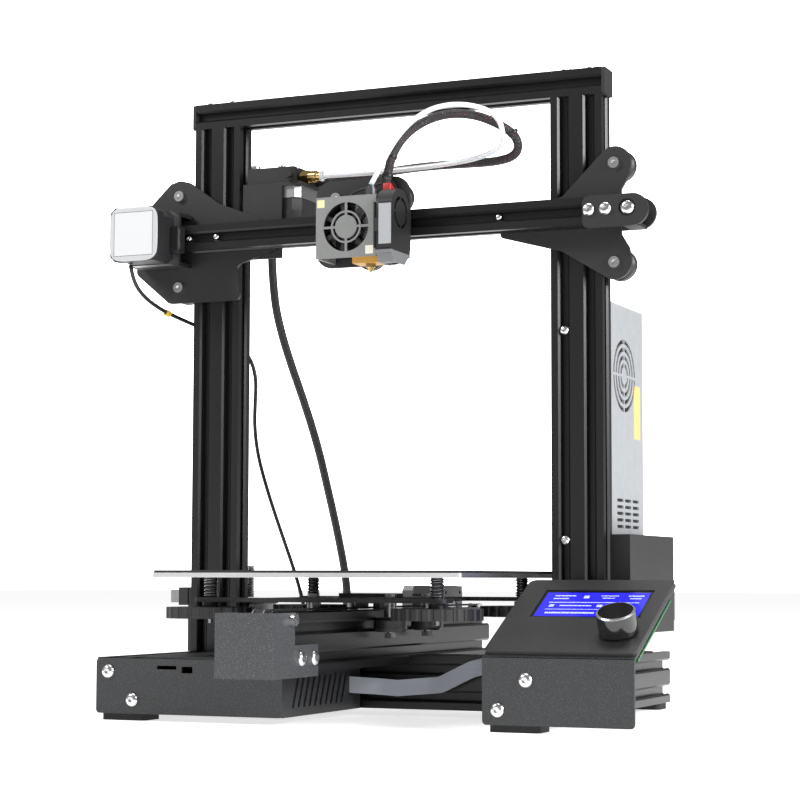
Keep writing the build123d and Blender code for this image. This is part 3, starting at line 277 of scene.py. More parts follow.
driveBoltFinish = makeFinish("gantryBolts", {**steelLook, "patches": [
    {"colour": (0.012, 0.012, 0.012), "rough": 0.4,
     "box": ((-0.0925, -0.0180, 0.40), (-0.080, -0.0140, 0.43))}]})
glossFinish = makeFinish("glossBlack", {
    **mouldedLook, "rough": 0.12, "roughSpread": 0.05, "bump": 0.05, "grain": (700, 700, 700),
    "fixed": {"Coat Weight": 0.4, "Coat Roughness": 0.06}})
brassLook = {
    **steelLook, "dark": (0.50, 0.32, 0.10), "light": (0.74, 0.52, 0.22), "rough": 0.24, "bump": 0.04,
}


def makeBelt(name, along, teethPerMetre=500.0):
    # rubber with a tooth every two millimetres along the belt's straight runs
    shader = Shader(name)
    shader.place()
    part = shader.x if along == "x" else shader.y
    tooth = shader.node("ShaderNodeMath", {"operation": "PINGPONG"}, [part * teethPerMetre, 0.5]) * 2
    fibre = shader.noise((900, 900, 900), 2.0)
    skin = shader.skin.inputs
    # the gaps between teeth are painted darker than the tooth tops: painted shade
    colour = shader.mixColour(tooth, (0.006, 0.006, 0.006, 1), (0.022, 0.022, 0.023, 1))
    shader.feed(skin["Base Color"], colour)
    shader.feed(skin["Roughness"], fibre * 0.2 + 0.5)
    shader.feed(skin["Normal"], shader.node("ShaderNodeBump", {}, {
        "Strength": 0.5, "Distance": 0.0004, "Height": tooth}))
    return shader.material


motorLook = {
    "dark": (0.012, 0.012, 0.013), "light": (0.022, 0.022, 0.024), "grain": (500, 500, 2400),
    "rough": 0.42, "bump": 0.3, "bumpDepth": 0.0001,
}
endCap = {"colour": (0.42, 0.42, 0.43), "rough": 0.36, "metal": 1.0}
frameMotorFinish = makeFinish("frameMotor", {**motorLook, "patches": [
    {**endCap, "box": ((-0.17, None, None), (-0.11, None, 0.0545))},
    {**endCap, "box": ((-0.17, None, 0.073), (-0.11, None, None))},
    {**endCap, "box": ((-0.06, 0.14, None), (-0.0479, 0.2, None))},
    {**endCap, "box": ((-0.0321, 0.14, None), (-0.02, 0.2, None))}]})
gantryMotorFinish = makeFinish("gantryMotor", {**motorLook, "patches": [
    {**endCap, "box": ((-0.13, -0.02, 0.40), (-0.07, None, None))},
    {**endCap, "box": ((None, -0.0435, None), (-0.16, -0.03, None))}]})
supplyFinish = makeFinish("zincCase", {
    "dark": (0.50, 0.52, 0.54), "light": (0.60, 0.62, 0.64),
    "grain": (900, 900, 60), "cloud": (120, 120, 120),
    "rough": 0.42, "roughSpread": 0.12, "metal": 0.55, "bump": 0.08,
    "patches": [   # the yellow label, then the sunk grille and louvres
        {"colour": (0.70, 0.52, 0.20), "rough": 0.5,
         "box": ((0.157, 0.1027, 0.2108), (None, 0.1192, 0.2525))},
        {"colour": (0.012, 0.012, 0.013), "rough": 0.6, "box": (open3, (0.1576, None, None))}]})
boardLook = {
    "dark": (0.010, 0.090, 0.030), "light": (0.020, 0.160, 0.055),
    "grain": (600, 600, 600), "cloud": (300, 300, 300),
    "fleck": (0.45, 0.36, 0.14), "fleckGrain": (700, 700, 700), "fleckAbove": 0.70,
    "rough": 0.35, "bump": 0.25,
}
boardFinish = makeFinish("circuitBoard", boardLook)
bedFinish = makeFinish("milledBed", {**steelLook, "grain": (60, 2200, 2200), "rough": 0.30})
sheetFinish = makeFinish("buildSheet", {
    "dark": (0.008, 0.008, 0.008), "light": (0.015, 0.015, 0.016), "grain": (2200, 2200, 2200),
    "rough": 0.55, "roughSpread": 0.2, "bump": 0.6, "bumpDepth": 0.0001})
shroudFinish = makeFinish("greyShroud", {
    "dark": (0.19, 0.195, 0.19), "light": (0.245, 0.25, 0.245),
    "grain": (1200, 1200, 1200), "cloud": (700, 700, 700),
    "rough": 0.45, "roughSpread": 0.15, "metal": 0.25, "bump": 0.25,
    "patches": [   # two blank labels, the dark side bracket and its pale flange
        {"colour": (0.70, 0.66, 0.36), "rough": 0.5,
         "box": ((-0.0322, None, 0.3773), (-0.0262, -0.0715, 0.3832))},
        {"colour": (0.74, 0.72, 0.62), "rough": 0.5,
         "box": ((0.0072, None, 0.3408), (0.0135, -0.0715, 0.3470))},
        {"colour": (0.010, 0.010, 0.010), "rough": 0.5, "box": ((0.0160, None, None), open3)},
        {"colour": (0.40, 0.41, 0.43), "rough": 0.4, "metal": 0.3,
         "box": ((0.0204, None, 0.3465), (None, -0.0765, 0.3765))}]})
hotendFinish = makeFinish("hotendParts", {**steelLook, "patches": [   # heater wrap, nozzle, tube collar
    {"colour": (0.62, 0.33, 0.06), "rough": 0.45,
     "box": ((-0.010, -0.0625, 0.3355), (0.0145, -0.043, 0.3465))},
    {"colour": (0.62, 0.42, 0.16), "rough": 0.3, "metal": 1.0, "box": (open3, (None, None, 0.3360))},
    {"colour": (0.10, 0.10, 0.11), "rough": 0.4, "metal": 0.6, "box": ((None, None, 0.3832), open3)}]})
blowerFinish = makeFinish("blowerBlack", {**mouldedLook, "patches": [
    {"colour": (0.16, 0.165, 0.17), "rough": 0.5, "box": (open3, (None, None, 0.3425))}]})
spring = {
    "low": 0.0884, "high": 0.1026, "coil": 0.0044, "wire": 0.00062, "turns": 6.5, "sides": 8, "steps": 170,
    "places": {"FrontLeft": (-0.088, -0.129), "RearLeft": (-0.088, 0.042),
               "FrontRight": (0.088, -0.129), "RearRight": (0.088, 0.042)},
}
# steel painted darker than the bright steel for the hardware under the bed: painted shade
shadedHardwareFinish = makeFinish("bedHardwareShaded", {
    **steelLook, "dark": (0.20, 0.20, 0.21), "light": (0.36, 0.36, 0.37),
    "patches": [   # the sleeves inside the coil springs go nearly black: painted shade inside the coils under the bed
        {"colour": (0.02, 0.02, 0.02), "rough": 0.6, "ring": ((x, y, 0.0955), (0, 0, 1), 0.0020, 0.0041),
         "box": ((None, None, spring["low"]), (None, None, spring["high"]))}
        for x, y in spring["places"].values()]})
ribbonFinish = makeFinish("ribbon", {
    "dark": (0.30, 0.32, 0.37), "light": (0.42, 0.44, 0.48), "grain": (500, 500, 1600), "cloud": (1, 1, 780),
    "rough": 0.38, "bump": 0.35, "bumpDepth": 0.0002})
# the dark tone also colours the bottom of the thread's grooves: painted shade
screwFinish = makeFinish("liftScrew", {
    **steelLook, "dark": (0.20, 0.20, 0.21), "bump": 0.8, "bumpDepth": 0.0006,
    "thread": {"x": -0.147, "y": 0.034, "pitch": 0.002, "starts": 4, "depth": 1.0}})
switchFinish = makeFinish("limitSwitch", {**mouldedLook, "patches": [
    {"colour": (0.30, 0.30, 0.29), "rough": 0.4, "box": (open3, (-0.1803, None, None))}]})
xSwitchFinish = makeFinish("headSwitch", {**mouldedLook, "patches": [
    {**bright, "box": ((-0.1638, None, None), (-0.1622, -0.0463, None))}]})

panel = {"slope": math.atan2(48.5, 98), "frontY": -0.150, "frontZ": 0.053, "knobX": 0.216, "knobUp": 0.031}
panelNormal = (0.0, -math.sin(panel["slope"]), math.cos(panel["slope"]))
knobCentre = (panel["knobX"], panel["frontY"] + panel["knobUp"] * panelNormal[2],
              panel["frontZ"] - panel["knobUp"] * panelNormal[1])
knobFinish = makeFinish("menuKnob", {
    **mouldedLook, "rough": 0.14, "roughSpread": 0.05, "bump": 0.04,
    "fixed": {"Coat Weight": 0.5, "Coat Roughness": 0.05},
    "patches": [{**bright, "ring": (knobCentre, panelNormal, 0.0119, 0.0140),
                 "above": (knobCentre, panelNormal, 0.0153)}]})

screenLook = {
    "blue": (0.018, 0.016, 0.72, 1), "pale": (0.45, 0.50, 1.0, 1), "rim": (0.004, 0.004, 0.005, 1),
    "glow": 0.75, "window": (0.1480, 0.2225, 0.0550, 0.0905),
    # each bar is its left and right x and its low and high place up the slope, in metres
    "bars": [(0.1545, 0.1700, 0.0850, 0.0864), (0.1545, 0.1660, 0.0808, 0.0822),
             (0.1760, 0.1800, 0.0820, 0.0860), (0.1880, 0.2010, 0.0852, 0.0864),
             (0.1900, 0.1990, 0.0818, 0.0830), (0.2080, 0.2190, 0.0850, 0.0866),
             (0.2100, 0.2180, 0.0812, 0.0826), (0.1530, 0.2180, 0.0752, 0.0762),
             (0.1545, 0.1580, 0.0690, 0.0726), (0.1620, 0.1850, 0.0702, 0.0716),
             (0.1890, 0.1930, 0.0690, 0.0724), (0.1530, 0.2180, 0.0650, 0.0657),
             (0.1545, 0.1900, 0.0590, 0.0612), (0.1940, 0.2160, 0.0590, 0.0606)],
}


def makeScreen(name, look):
    # blue glow with plain pale bars, placed by x and by the distance up the slope
    shader = Shader(name)
    shader.place()
    up = (shader.y - panel["frontY"]) * panelNormal[2] + (shader.z - panel["frontZ"]) * (-panelNormal[1])
    marks = 0.0
    for left, right, low, high in look["bars"]:
        marks = (shader.x > left) * (shader.x < right) * (up > low) * (up < high) + marks
    dots = shader.noise((1500, 1500, 1500), 1.0)
    colour = shader.mixColour(marks * (dots > 0.40), look["blue"], look["pale"])
    left, right, low, high = look["window"]
    lit = (shader.x > left) * (shader.x < right) * (up > low) * (up < high)
    colour = shader.mixColour(lit, look["rim"], colour)
    skin = shader.skin.inputs
    shader.feed(skin["Base Color"], colour)
    shader.feed(skin["Emission Color"], colour)
    skin["Emission Strength"].default_value = look["glow"]
    shader.feed(skin["Roughness"], dots * 0.05 + 0.10)
    return shader.material


finishOf = {
    "base_beams": alongFinish, "upper_frame": uprightFinish, "bed_rail": alongFinish,
    "cross_rail": acrossFinish, "caps_and_feet": rubberFinish, "frame_brackets": bracketFinish,
    "control_box": powderFinish, "display_bracket": powderFinish, "frame_motors": frameMotorFinish,
    "gantry_motors": gantryMotorFinish, "y_belt": makeBelt("bedBelt", "y"),
    "x_belt": makeBelt("headBelt", "x"), "mainboard": boardFinish, "display_board": boardFinish,
    "supply_case": supplyFinish, "supply_cover": plateFinish, "power_inlet": glossFinish,
    "power_rocker": glossFinish, "display_panel": plateFinish,
    "display_screen": makeScreen("screenGlow", screenLook), "ribbon_cable": ribbonFinish,
    "lift_switch": switchFinish, "x_switch": xSwitchFinish, "frame_screws": steelFinish,
    "gantry_bolts": driveBoltFinish, "head_wheel_bolts": steelFinish, "bed_hardware": shadedHardwareFinish,
    "gantry_plates": plateFinish, "lift_wheels": mouldedFinish, "head_wheels": mouldedFinish,
    "bed_wheels": mouldedFinish, "brass_fittings": makeFinish("turnedBrass", brassLook),
    "extruder_block": mouldedFinish, "extruder_lever": mouldedFinish,
    "drive_gear": makeFinish("gearBrass", brassLook), "head_plate": plateFinish,
    "fan_shroud": shroudFinish, "hotend_fan": mouldedFinish, "hotend_fan_rotor": mouldedFinish,
    "hotend": hotendFinish, "blower": blowerFinish, "blower_rotor": mouldedFinish, "bed_plate": bedFinish,
    "build_surface": sheetFinish, "bed_carriage": plateFinish, "lead_screw": screwFinish,
    "y_idler": steelFinish, "x_idler": steelFinish, "y_drive_pulley": steelFinish,
    "x_drive_pulley": steelFinish, "encoder_shaft": steelFinish, "menu_knob": knobFinish,
}
for corner in ("front_left", "rear_left", "front_right", "rear_right"):
    finishOf["level_knob_" + corner] = mouldedFinish
for nodeName, finish in finishOf.items():
    dress(nodeName, finish)
print("finishes on the CAD pieces:", len(finishOf))


def makeSurface(name, grid, wrapRows, capEnds, uv=None):
    # grid[i, j] is a point; cells join neighbours, wrapRows joins the last row to the first,
    # every row is a closed loop, and capEnds closes the first and last rows with one face each;
    # uv holds the rows' lengths and the columns' shares of a turn
    rows, cols = grid.shape[:2]
    index = np.arange(rows * cols).reshape(rows, cols)
    down = np.roll(index, -1, axis=0) if wrapRows else index[1:]
    here = index if wrapRows else index[:-1]
    quads = np.stack([here, np.roll(here, -1, 1), np.roll(down, -1, 1), down], axis=-1).reshape(-1, 4)
    faces = quads.tolist()
    if capEnds:
        faces += [index[0][::-1].tolist(), index[-1].tolist()]
    mesh = bpy.data.meshes.new(name)
    mesh.from_pydata(grid.reshape(-1, 3), [], faces)
    if uv is not None:
        length, turn = uv
        lower = length[:len(here), None] + 0 * turn
        upper = np.roll(length, -1)[:len(here), None] + 0 * turn
        u = np.stack([lower, lower, upper, upper], -1)
        near = turn[None] + 0 * lower
        far = near + turn[1] - turn[0]
        v = np.stack([near, far, far, near], -1)
        flat = np.zeros((len(mesh.loops), 2), np.float32)
        flat[:quads.size, 0] = u.reshape(-1)
        flat[:quads.size, 1] = v.reshape(-1)
        layer = mesh.uv_layers.new(name="skinMap")
        layer.data.foreach_set("uv", flat.ravel())
    mesh.validate()
    mesh.polygons.foreach_set("use_smooth", np.ones(len(mesh.polygons), bool))
    mesh.update()
    piece = bpy.data.objects.new(name, mesh)
    bpy.context.scene.collection.objects.link(piece)
    return piece


def finishPiece(piece, material, body):
    piece.data.materials.append(material)
    if body:
        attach(piece, body)
    return piece


def routeLine(points, spacing):
    # the smooth line of an order three spline with these control points, as evenly spaced points
    curve = bpy.data.curves.new("route", "CURVE")
    curve.dimensions = "3D"
    spline = curve.splines.new("NURBS")
    control = np.array(points, float) / 1000
    spline.points.add(len(control) - 1)
    spline.points.foreach_set("co", np.c_[control, np.ones(len(control))].ravel())
    spline.order_u = 3
    spline.use_endpoint_u = True
    spline.resolution_u = 16
    holder = bpy.data.objects.new("route", curve)
    line = bpy.data.meshes.new_from_object(holder)
    fine = np.empty(len(line.vertices) * 3)
    line.vertices.foreach_get("co", fine)
    fine = fine.reshape(-1, 3)
    bpy.data.objects.remove(holder)
    along = np.r_[0, np.cumsum(np.linalg.norm(np.diff(fine, axis=0), axis=1))]
    even = np.linspace(0, along[-1], max(8, int(along[-1] / spacing)))
    return np.stack([np.interp(even, along, fine[:, k]) for k in range(3)], -1), even


def tubeAlong(name, points, radius, spacing, sides, side):
    # a circle carried along the route: centre + radius * (cos a * normal + sin a * binormal)
    line, along = routeLine(points, spacing)
    tangent = np.gradient(line, axis=0)
    tangent /= np.linalg.norm(tangent, axis=1)[:, None]
    normal = np.cross(tangent, np.array(side, float))
    normal /= np.linalg.norm(normal, axis=1)[:, None]
    binormal = np.cross(tangent, normal)
    angle = np.linspace(0, 2 * np.pi, sides, endpoint=False)
    grid = (line[:, None] + radius * (np.cos(angle)[None, :, None] * normal[:, None]
                                      + np.sin(angle)[None, :, None] * binormal[:, None]))
    return makeSurface(name, grid, False, True, (along, angle / (2 * np.pi)))


def helix(name, centre, low, high, coilRadius, wireRadius, turns, sides, steps):
    # a circle carried up a coil, at height t - ease * sin(2 pi t) / (2 pi), so the end turns lie flatter
    ease = 0.4
    t = np.linspace(0, 1, steps)
    rise = t - ease * np.sin(2 * np.pi * t) / (2 * np.pi)
    angle = 2 * np.pi * turns * t
    around = np.stack([np.cos(angle), np.sin(angle), 0 * t], -1)
    height = low + wireRadius + rise * (high - low - 2 * wireRadius)
    line = around * coilRadius + np.stack([0 * t, 0 * t, height], -1)
    line += np.array([centre[0], centre[1], 0])
    turn = np.linspace(0, 2 * np.pi, sides, endpoint=False)
    grid = line[:, None] + wireRadius * (np.cos(turn)[None, :, None] * around[:, None]
                                         - np.sin(turn)[None, :, None] * np.array([0, 0, 1.0]))
    return makeSurface(name, grid, False, True)


def roundedBlock(name, centre, across, up, half, profile, power=5.0, sides=48):
    # a rounded square outline |a|^p + |b|^p = 1 carried through the profile's (scale, height) pairs
    across = np.array(across, float)
    up = np.array(up, float)
    out = np.cross(across, up)
    angle = np.linspace(0, 2 * np.pi, sides, endpoint=False)
    swell = (np.abs(np.cos(angle)) ** power + np.abs(np.sin(angle)) ** power) ** (-1 / power)
    a = np.cos(angle) * swell * half[0]
    b = np.sin(angle) * swell * half[1]
    scale = np.array([p[0] for p in profile])[:, None, None]
    lift = np.array([p[1] for p in profile])[:, None, None]
    grid = np.array(centre, float) + scale * (a[:, None] * across + b[:, None] * up)[None] + lift * out
    return makeSurface(name, grid, False, True)


def band(name, centre, axis, radius, thick, wide, squareness=0.4, sides=40, rim=12):
    # a flattened ring: the radius swells by thick * cos b and the height falls by wide * sin b,
    # both squared off by raising them to a small power
    axis = np.array(axis, float) / np.linalg.norm(axis)
    first = np.cross(axis, [0.31, 0.52, 0.79])
    first /= np.linalg.norm(first)
    second = np.cross(axis, first)
    a = np.linspace(0, 2 * np.pi, sides, endpoint=False)[:, None, None]
    b = np.linspace(0, 2 * np.pi, rim, endpoint=False)[None, :, None]
    squareCos = np.sign(np.cos(b)) * np.abs(np.cos(b)) ** squareness
    squareSin = np.sign(np.sin(b)) * np.abs(np.sin(b)) ** squareness
    spoke = np.cos(a) * first + np.sin(a) * second
    grid = np.array(centre, float) + spoke * (radius + thick * squareCos) - axis * (wide * squareSin)
    return makeSurface(name, grid, True, False)


def turned(name, centre, profile, sides=28, alongX=False):
    # rows of (radius, height) carried once round the upright axis and closed by caps,
    # or laid along x as a ring, with the last row joined to the first
    a = np.linspace(0, 2 * np.pi, sides, endpoint=False)
    radius = np.array([p[0] for p in profile])[:, None]
    height = np.array([p[1] for p in profile])[:, None]
    grid = np.stack([radius * np.cos(a), radius * np.sin(a), height + 0 * a], -1)
    if alongX:
        grid = np.roll(grid, 1, axis=-1)
    return makeSurface(name, grid + np.array(centre), alongX, not alongX)


def makeBraid(name, look):
    # two sets of diagonal strands from the length and the angle; flecks of coloured thread show in the weave
    shader = Shader(name)
    uv = shader.node("ShaderNodeUVMap", {"uv_map": "skinMap"}, {})
    u = shader.node("ShaderNodeSeparateXYZ", {}, [uv], 0)
    v = shader.node("ShaderNodeSeparateXYZ", {}, [uv], 1)
    rise = u * look["strandsPerMetre"]
    one = shader.node("ShaderNodeMath", {"operation": "PINGPONG"}, [rise + v * look["strands"], 0.5]) * 2
    two = shader.node("ShaderNodeMath", {"operation": "PINGPONG"}, [rise - v * look["strands"], 0.5]) * 2
    weave = shader.node("ShaderNodeMath", {"operation": "MAXIMUM"}, [one, two])
    specks = shader.noise(look["fleckGrain"], 1.0)
    red = (specks > look["redAbove"]) * (weave > 0.3)
    pale = (shader.noise(look["paleGrain"], 1.0) > look["paleAbove"]) * (weave > 0.3)
    # the gaps between strands are painted darker than the strand tops: painted shade; the red and pale
    # flecks are coloured threads
    colour = shader.mixColour(weave, rgba(look["dark"]), rgba(look["light"]))
    colour = shader.mixColour(red, colour, rgba(look["red"]))
    colour = shader.mixColour(pale, colour, rgba(look["pale"]))
    skin = shader.skin.inputs
    shader.feed(skin["Base Color"], colour)
    shader.feed(skin["Roughness"], weave * -0.2 + 0.62)
    shader.feed(skin["Normal"], shader.node("ShaderNodeBump", {}, {
        "Strength": 0.8, "Distance": 0.0005, "Height": weave}))
    return shader.material


braid = {
    "dark": (0.003, 0.003, 0.003), "light": (0.030, 0.030, 0.032), "strands": 8, "strandsPerMetre": 420,
    "red": (0.20, 0.012, 0.014), "redAbove": 0.67, "fleckGrain": (900, 900, 900),
    "pale": (0.26, 0.26, 0.27), "paleAbove": 0.70, "paleGrain": (1000, 900, 950),
}
loopBraidFinish = makeBraid("loopBraid", braid)
hangingBraidFinish = makeBraid("hangingBraid", {**braid, "redAbove": 0.78, "paleAbove": 0.76})
tubeFinish = makeFinish("clearTube", {
    "dark": (0.72, 0.75, 0.77), "light": (0.86, 0.88, 0.90), "grain": (40, 40, 40), "cloud": (30, 30, 30),
    "rough": 0.22, "roughSpread": 0.06, "bump": 0.02,
    "fixed": {"Subsurface Weight": 0.25, "Subsurface Scale": 0.004, "Coat Weight": 0.3}})
wireLook = {
    "dark": (0.008, 0.008, 0.008), "light": (0.014, 0.014, 0.014), "grain": (800, 800, 800),
    "rough": 0.4, "bump": 0.1,
}
blackWire = makeFinish("blackWire", wireLook)
redWire = makeFinish("redWire", {**wireLook, "dark": (0.36, 0.010, 0.012), "light": (0.50, 0.02, 0.02)})
paleWire = makeFinish("paleWire", {**wireLook, "dark": (0.62, 0.62, 0.60), "light": (0.78, 0.78, 0.76)})
yellowTag = makeFinish("yellowTag", {
    **wireLook, "dark": (0.62, 0.42, 0.03), "light": (0.75, 0.52, 0.06), "rough": 0.5})

tubeRoute = [(-66.8, 6.3, 418), (-48, 5.6, 417.6), (-24, 4.4, 417), (2, 2.2, 417.1), (27, -0.5, 417.2),
             (49, -3.4, 417.8), (70, -7, 419), (86, -12, 422.2), (95.5, -16, 427.4), (96.5, -21.2, 434.6),
             (95.5, -24.8, 442.6), (89, -28, 449.8), (75, -31, 454.8), (60, -34.5, 456),
             (45.5, -38.5, 453), (33.5, -42.5, 445.3), (23.5, -46.5, 434.2), (15.5, -50, 420.6),
             (9.6, -53, 406.5), (4.3, -55.5, 395.3)]
loopRoute = [(13, -48.2, 387.7), (13.4, -46.3, 403), (15.7, -43.5, 417.7), (21.3, -40.5, 430),
             (30.9, -37, 440.2), (44.3, -33, 447.5), (59.6, -29, 450.4), (75.6, -24.6, 448.6),
             (89.6, -19.6, 443), (102, -13.2, 435), (105.6, -9.6, 425.6), (99.4, -5, 418.4),
             (82, -0.5, 416.8), (60, 5, 418.2), (36.6, 10, 419.7), (11.7, 15.5, 420.6),
             (-13.6, 21, 420.3), (-39.3, 26.5, 419.6), (-65.4, 32, 418.9), (-91.7, 37, 416.8)]
hangingRoute = [(-92.1, 37.07, 416.78), (-107, 39.9, 415.5), (-120, 42, 406.5), (-127.5, 44, 390),
                (-130.4, 48, 366), (-131.5, 53.5, 341), (-132, 60, 321), (-131, 70, 300),
                (-128.4, 82, 277), (-125, 94.5, 254), (-122, 107, 230), (-120, 119.5, 206),
                (-119.3, 132, 181), (-119.5, 146, 157), (-120, 159, 134), (-119.4, 168, 112),
                (-118, 171, 93), (-116.4, 168, 76), (-114, 157.5, 62), (-110.6, 142, 54),
                (-106, 122, 51.4), (-100, 98, 51), (-93.4, 72, 51.6), (-87, 46, 52.3), (-81.6, 20, 52.7),
                (-77.4, -6, 52.4), (-75, -31.4, 51.5)]
leadRoute = [(-205, -50, 347.3), (-204.6, -46.5, 334.6), (-200.6, -35, 323), (-194.6, -19, 315),
             (-188.4, -2, 310), (-181.8, 15, 305.5), (-172, 31, 300.4), (-160, 43.5, 293.4),
             (-150, 50, 281.5), (-145.6, 52, 264.6), (-147.4, 54, 246), (-150.4, 58.6, 226.6),
             (-151.6, 67, 204), (-151, 80, 180.6), (-150.4, 95, 158.4), (-150.2, 111, 137.6),
             (-149, 125.6, 116.4), (-146, 136.4, 93.4), (-142, 141, 69), (-140, 141, 43.6)]

# radius, spacing of the rings, sides, and the direction that the first ring is turned from
tubePiece = tubeAlong("feedTube", tubeRoute, 0.0020, 0.0020, 20, (0, 1, 0))
finishPiece(tubePiece, tubeFinish, None)
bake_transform(tubePiece)
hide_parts("bowden_tube")
loopPiece = tubeAlong("loopSleeve", loopRoute, 0.0034, 0.0018, 24, (0, 1, 0))
finishPiece(loopPiece, loopBraidFinish, None)
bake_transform(loopPiece)
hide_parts("loop_sleeve")
hangingPiece = tubeAlong("hangingSleeve", hangingRoute, 0.0034, 0.0024, 24, (1, 1, 1))
finishPiece(hangingPiece, hangingBraidFinish, None)
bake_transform(hangingPiece)
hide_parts("hanging_sleeve")
leadPiece = tubeAlong("motorLead", leadRoute, 0.0016, 0.0030, 14, (1, 1, 1))
finishPiece(leadPiece, blackWire, None)
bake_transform(leadPiece)
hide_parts("motor_lead")
print("tubes and cables made")


# spring steel painted darker than the bright steel, as the springs sit under the bed: painted shade
shadedSpringFinish = makeFinish("shadedSpringSteel", {
    **steelLook, "dark": (0.12, 0.12, 0.125), "light": (0.24, 0.24, 0.25)})
for label, place in spring["places"].items():
    coil = helix("spring" + label, place, spring["low"], spring["high"], spring["coil"], spring["wire"],
                 spring["turns"], spring["sides"], spring["steps"])
    finishPiece(coil, shadedSpringFinish, "bed")

plateProfile = [(0.94, 0.0), (1.0, 0.0), (1.0, 0.0006), (0.985, 0.0010), (0.94, 0.0010)]
labelPlate = {"centre": (-0.1915, -0.0685, 0.3685), "half": (0.0212, 0.0212)}
paleEnamel = makeFinish("paleEnamel", {
    "dark": (0.46, 0.47, 0.48), "light": (0.54, 0.55, 0.56), "grain": (900, 900, 900),
    "rough": 0.35, "bump": 0.05,
    "patches": [{"colour": (0.16, 0.16, 0.165), "rough": 0.4,
                 "box": ((-0.2088, -0.0697, 0.3512), (-0.1742, -0.0694, 0.3858))},
                {"colour": (0.62, 0.63, 0.64), "rough": 0.45,
                 "box": ((-0.2083, None, 0.3517), (-0.1747, None, 0.3853))}]})
motorPlate = roundedBlock("motorPlate", labelPlate["centre"], (1, 0, 0), (0, 0, 1), labelPlate["half"],
                          plateProfile)
finishPiece(motorPlate, paleEnamel, "gantry")

tie = {"radius": 0.0037, "thick": 0.0006, "wide": 0.0013}
for label, centre, axis in (
        ("tieLoopLow", (0.0134, -0.0455, 0.4030), (0.1, 0.2, 1.0)),
        ("tieLoopMid", (0.0158, -0.0434, 0.4179), (0.2, 0.2, 0.9)),
        ("tieLoopRight", (0.1015, -0.0132, 0.4350), (0.5, 0.25, -0.8)),
        ("tieLeft", (-0.0654, 0.0320, 0.4188), (1, -0.2, 0)),
):
    tiePiece = band(label, centre, axis, tie["radius"], tie["thick"], tie["wide"])
    finishPiece(tiePiece, blackWire, None)
    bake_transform(tiePiece)
tag = {"centre": (-0.1925, -0.0125, 0.3128), "axis": (6.2, 17, -5),
       "radius": 0.0019, "thick": 0.0007, "wide": 0.0024}
tagPiece = band("cableTagHigh", tag["centre"], tag["axis"], tag["radius"], tag["thick"], tag["wide"])
finishPiece(tagPiece, yellowTag, None)
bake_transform(tagPiece)

# short wires from the head's connectors up into the sleeve, in mm
headWires = {
    "wireRedOne": ([(21.5, -51.5, 386), (21.8, -51, 390), (19, -49.6, 394), (15.6, -47.8, 397.5)], redWire),
    "wirePaleOne": ([(9, -46, 385.4), (9.2, -45.6, 390), (10.6, -46, 395), (12.4, -46.6, 399)], paleWire),
    "wireBlackOne": ([(21, -47, 386), (22, -46, 391), (19, -46, 396), (15.6, -45.4, 401)], blackWire),
    "wireBlackTwo": ([(-20, -45, 385.2), (-19, -44.6, 391), (-4, -45, 396), (10.5, -46, 398)], blackWire),
}
for label, (points, material) in headWires.items():
    finishPiece(tubeAlong(label, points, 0.0008, 0.0008, 10, (0, 1, 0)), material, "head")

socketProfile = [(0.85, 0.0), (0.94, 0.0), (1.0, 0.0004), (1.0, 0.0096), (0.93, 0.0102), (0.85, 0.0102)]
shortProfile = [(scale, lift * 0.42) for scale, lift in socketProfile]
for label, centre, half, profile, material in (
        ("connectorRed", (0.0168, -0.0530, 0.3856), (0.0034, 0.0026), socketProfile, redWire),
        ("connectorRedSide", (0.0216, -0.0520, 0.3848), (0.0015, 0.0022), shortProfile, redWire),
        ("clipPaleLeft", (0.0092, -0.0480, 0.3850), (0.0014, 0.0022), shortProfile, paleWire),
        ("clipPaleRight", (0.0240, -0.0480, 0.3850), (0.0014, 0.0018), shortProfile, paleWire),
):
    finishPiece(roundedBlock(label, centre, (1, 0, 0), (0, 1, 0), half, profile), material, "head")

tallBolt = [(0.0001, 0), (0.0015, 0), (0.0015, 0.0070), (0.0030, 0.0072), (0.0030, 0.0096), (0.0024, 0.0108),
            (0.0012, 0.0110), (0.0011, 0.0100), (0.0001, 0.0100)]
shortBolt = [(radius, height * 0.55) for radius, height in tallBolt]
finishPiece(turned("driveBoltTall", (-0.1036, -0.0040, 0.4125), tallBolt), steelFinish, "gantry")
finishPiece(turned("driveBoltShort", (-0.0986, 0.0020, 0.4220), shortBolt), steelFinish, "gantry")
collet = [(0.0022, 0), (0.0040, 0), (0.0042, 0.0004), (0.0042, 0.0020), (0.0032, 0.0026), (0.0022, 0.0026)]
finishPiece(turned("tubeCollet", (-0.0668, 0.0063, 0.4180), collet, alongX=True), paleWire, "gantry")
print("small pieces made")


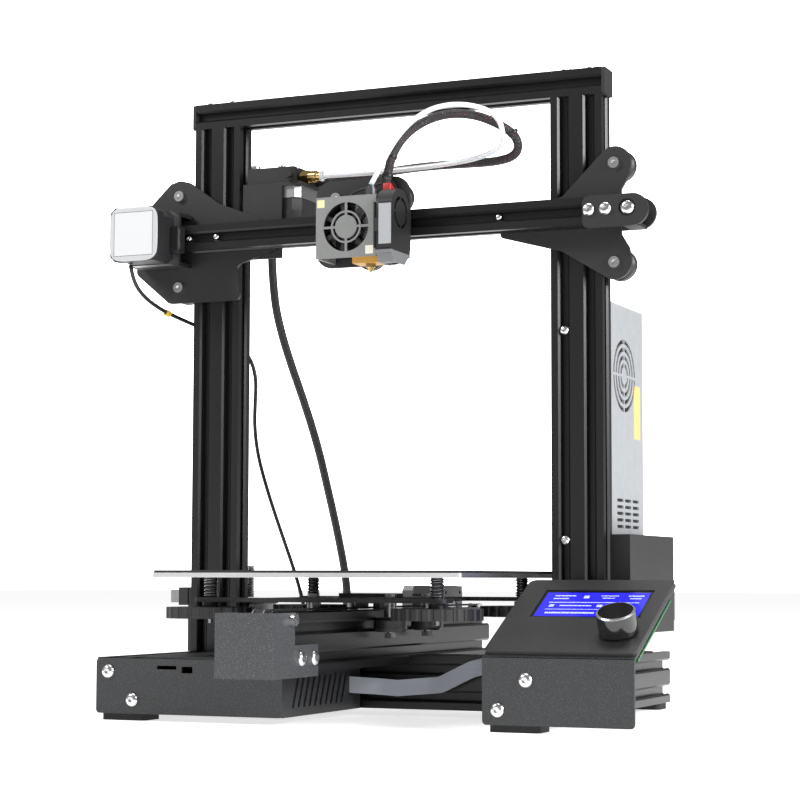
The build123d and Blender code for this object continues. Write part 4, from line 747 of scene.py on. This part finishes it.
studio = {
    "floor": (0.92, 0.92, 0.92), "floorRough": 0.9, "floorGlow": 0.70,
    "light": 0.27,       # how bright the surroundings light the object
    "backdrop": 3.2,     # how bright they look
}
floorMesh = bpy.data.meshes.new("floor")
floorMesh.from_pydata([(-9, -6, 0), (9, -6, 0), (9, 14, 0), (-9, 14, 0)], [], [(0, 1, 2, 3)])
floorShader = Shader("paleFloor")
floorShader.skin.inputs["Base Color"].default_value = rgba(studio["floor"])
floorShader.skin.inputs["Roughness"].default_value = studio["floorRough"]
floorShader.skin.inputs["Emission Color"].default_value = (1, 1, 1, 1)
floorShader.skin.inputs["Emission Strength"].default_value = studio["floorGlow"]
floorMesh.materials.append(floorShader.material)
floor = bpy.data.objects.new("floor", floorMesh)
bpy.context.scene.collection.objects.link(floor)

world = bpy.data.worlds.new("studio")
bpy.context.scene.world = world
world.use_nodes = True
room = world.node_tree
seen = room.nodes.new("ShaderNodeLightPath")
brightness = room.nodes.new("ShaderNodeMapRange")
brightness.inputs["To Min"].default_value = studio["light"]
brightness.inputs["To Max"].default_value = studio["backdrop"]
room.links.new(seen.outputs["Is Camera Ray"], brightness.inputs["Value"])
room.links.new(brightness.outputs["Result"], room.nodes["Background"].inputs["Strength"])
room.nodes["Background"].inputs["Color"].default_value = (1, 1, 1, 1)

for label, place, aim, size, power in (
        ("keyLight", (-1.6, -1.6, 1.9), (0, 0, 0.2), 0.9, 40),
        ("sideLight", (1.9, -0.5, 0.9), (0.1, 0, 0.2), 0.8, 40),
        ("topLight", (0.1, 0.3, 2.4), (0, 0, 0.2), 1.2, 34),
):
    lamp = bpy.data.lights.new(label, "AREA")
    lamp.size = size
    lamp.energy = power
    lampObject = bpy.data.objects.new(label, lamp)
    bpy.context.scene.collection.objects.link(lampObject)
    toward = np.array(aim, float) - np.array(place, float)
    spin = math.atan2(toward[0], -toward[1])
    tip = math.atan2(math.hypot(toward[0], toward[1]), -toward[2])
    lampObject.matrix_world = (Matrix.Translation(place) @ Matrix.Rotation(spin + math.pi, 4, "Z")
                               @ Matrix.Rotation(tip, 4, "X"))
bpy.context.scene.view_settings.view_transform = "Standard"
print("floor and lights set")
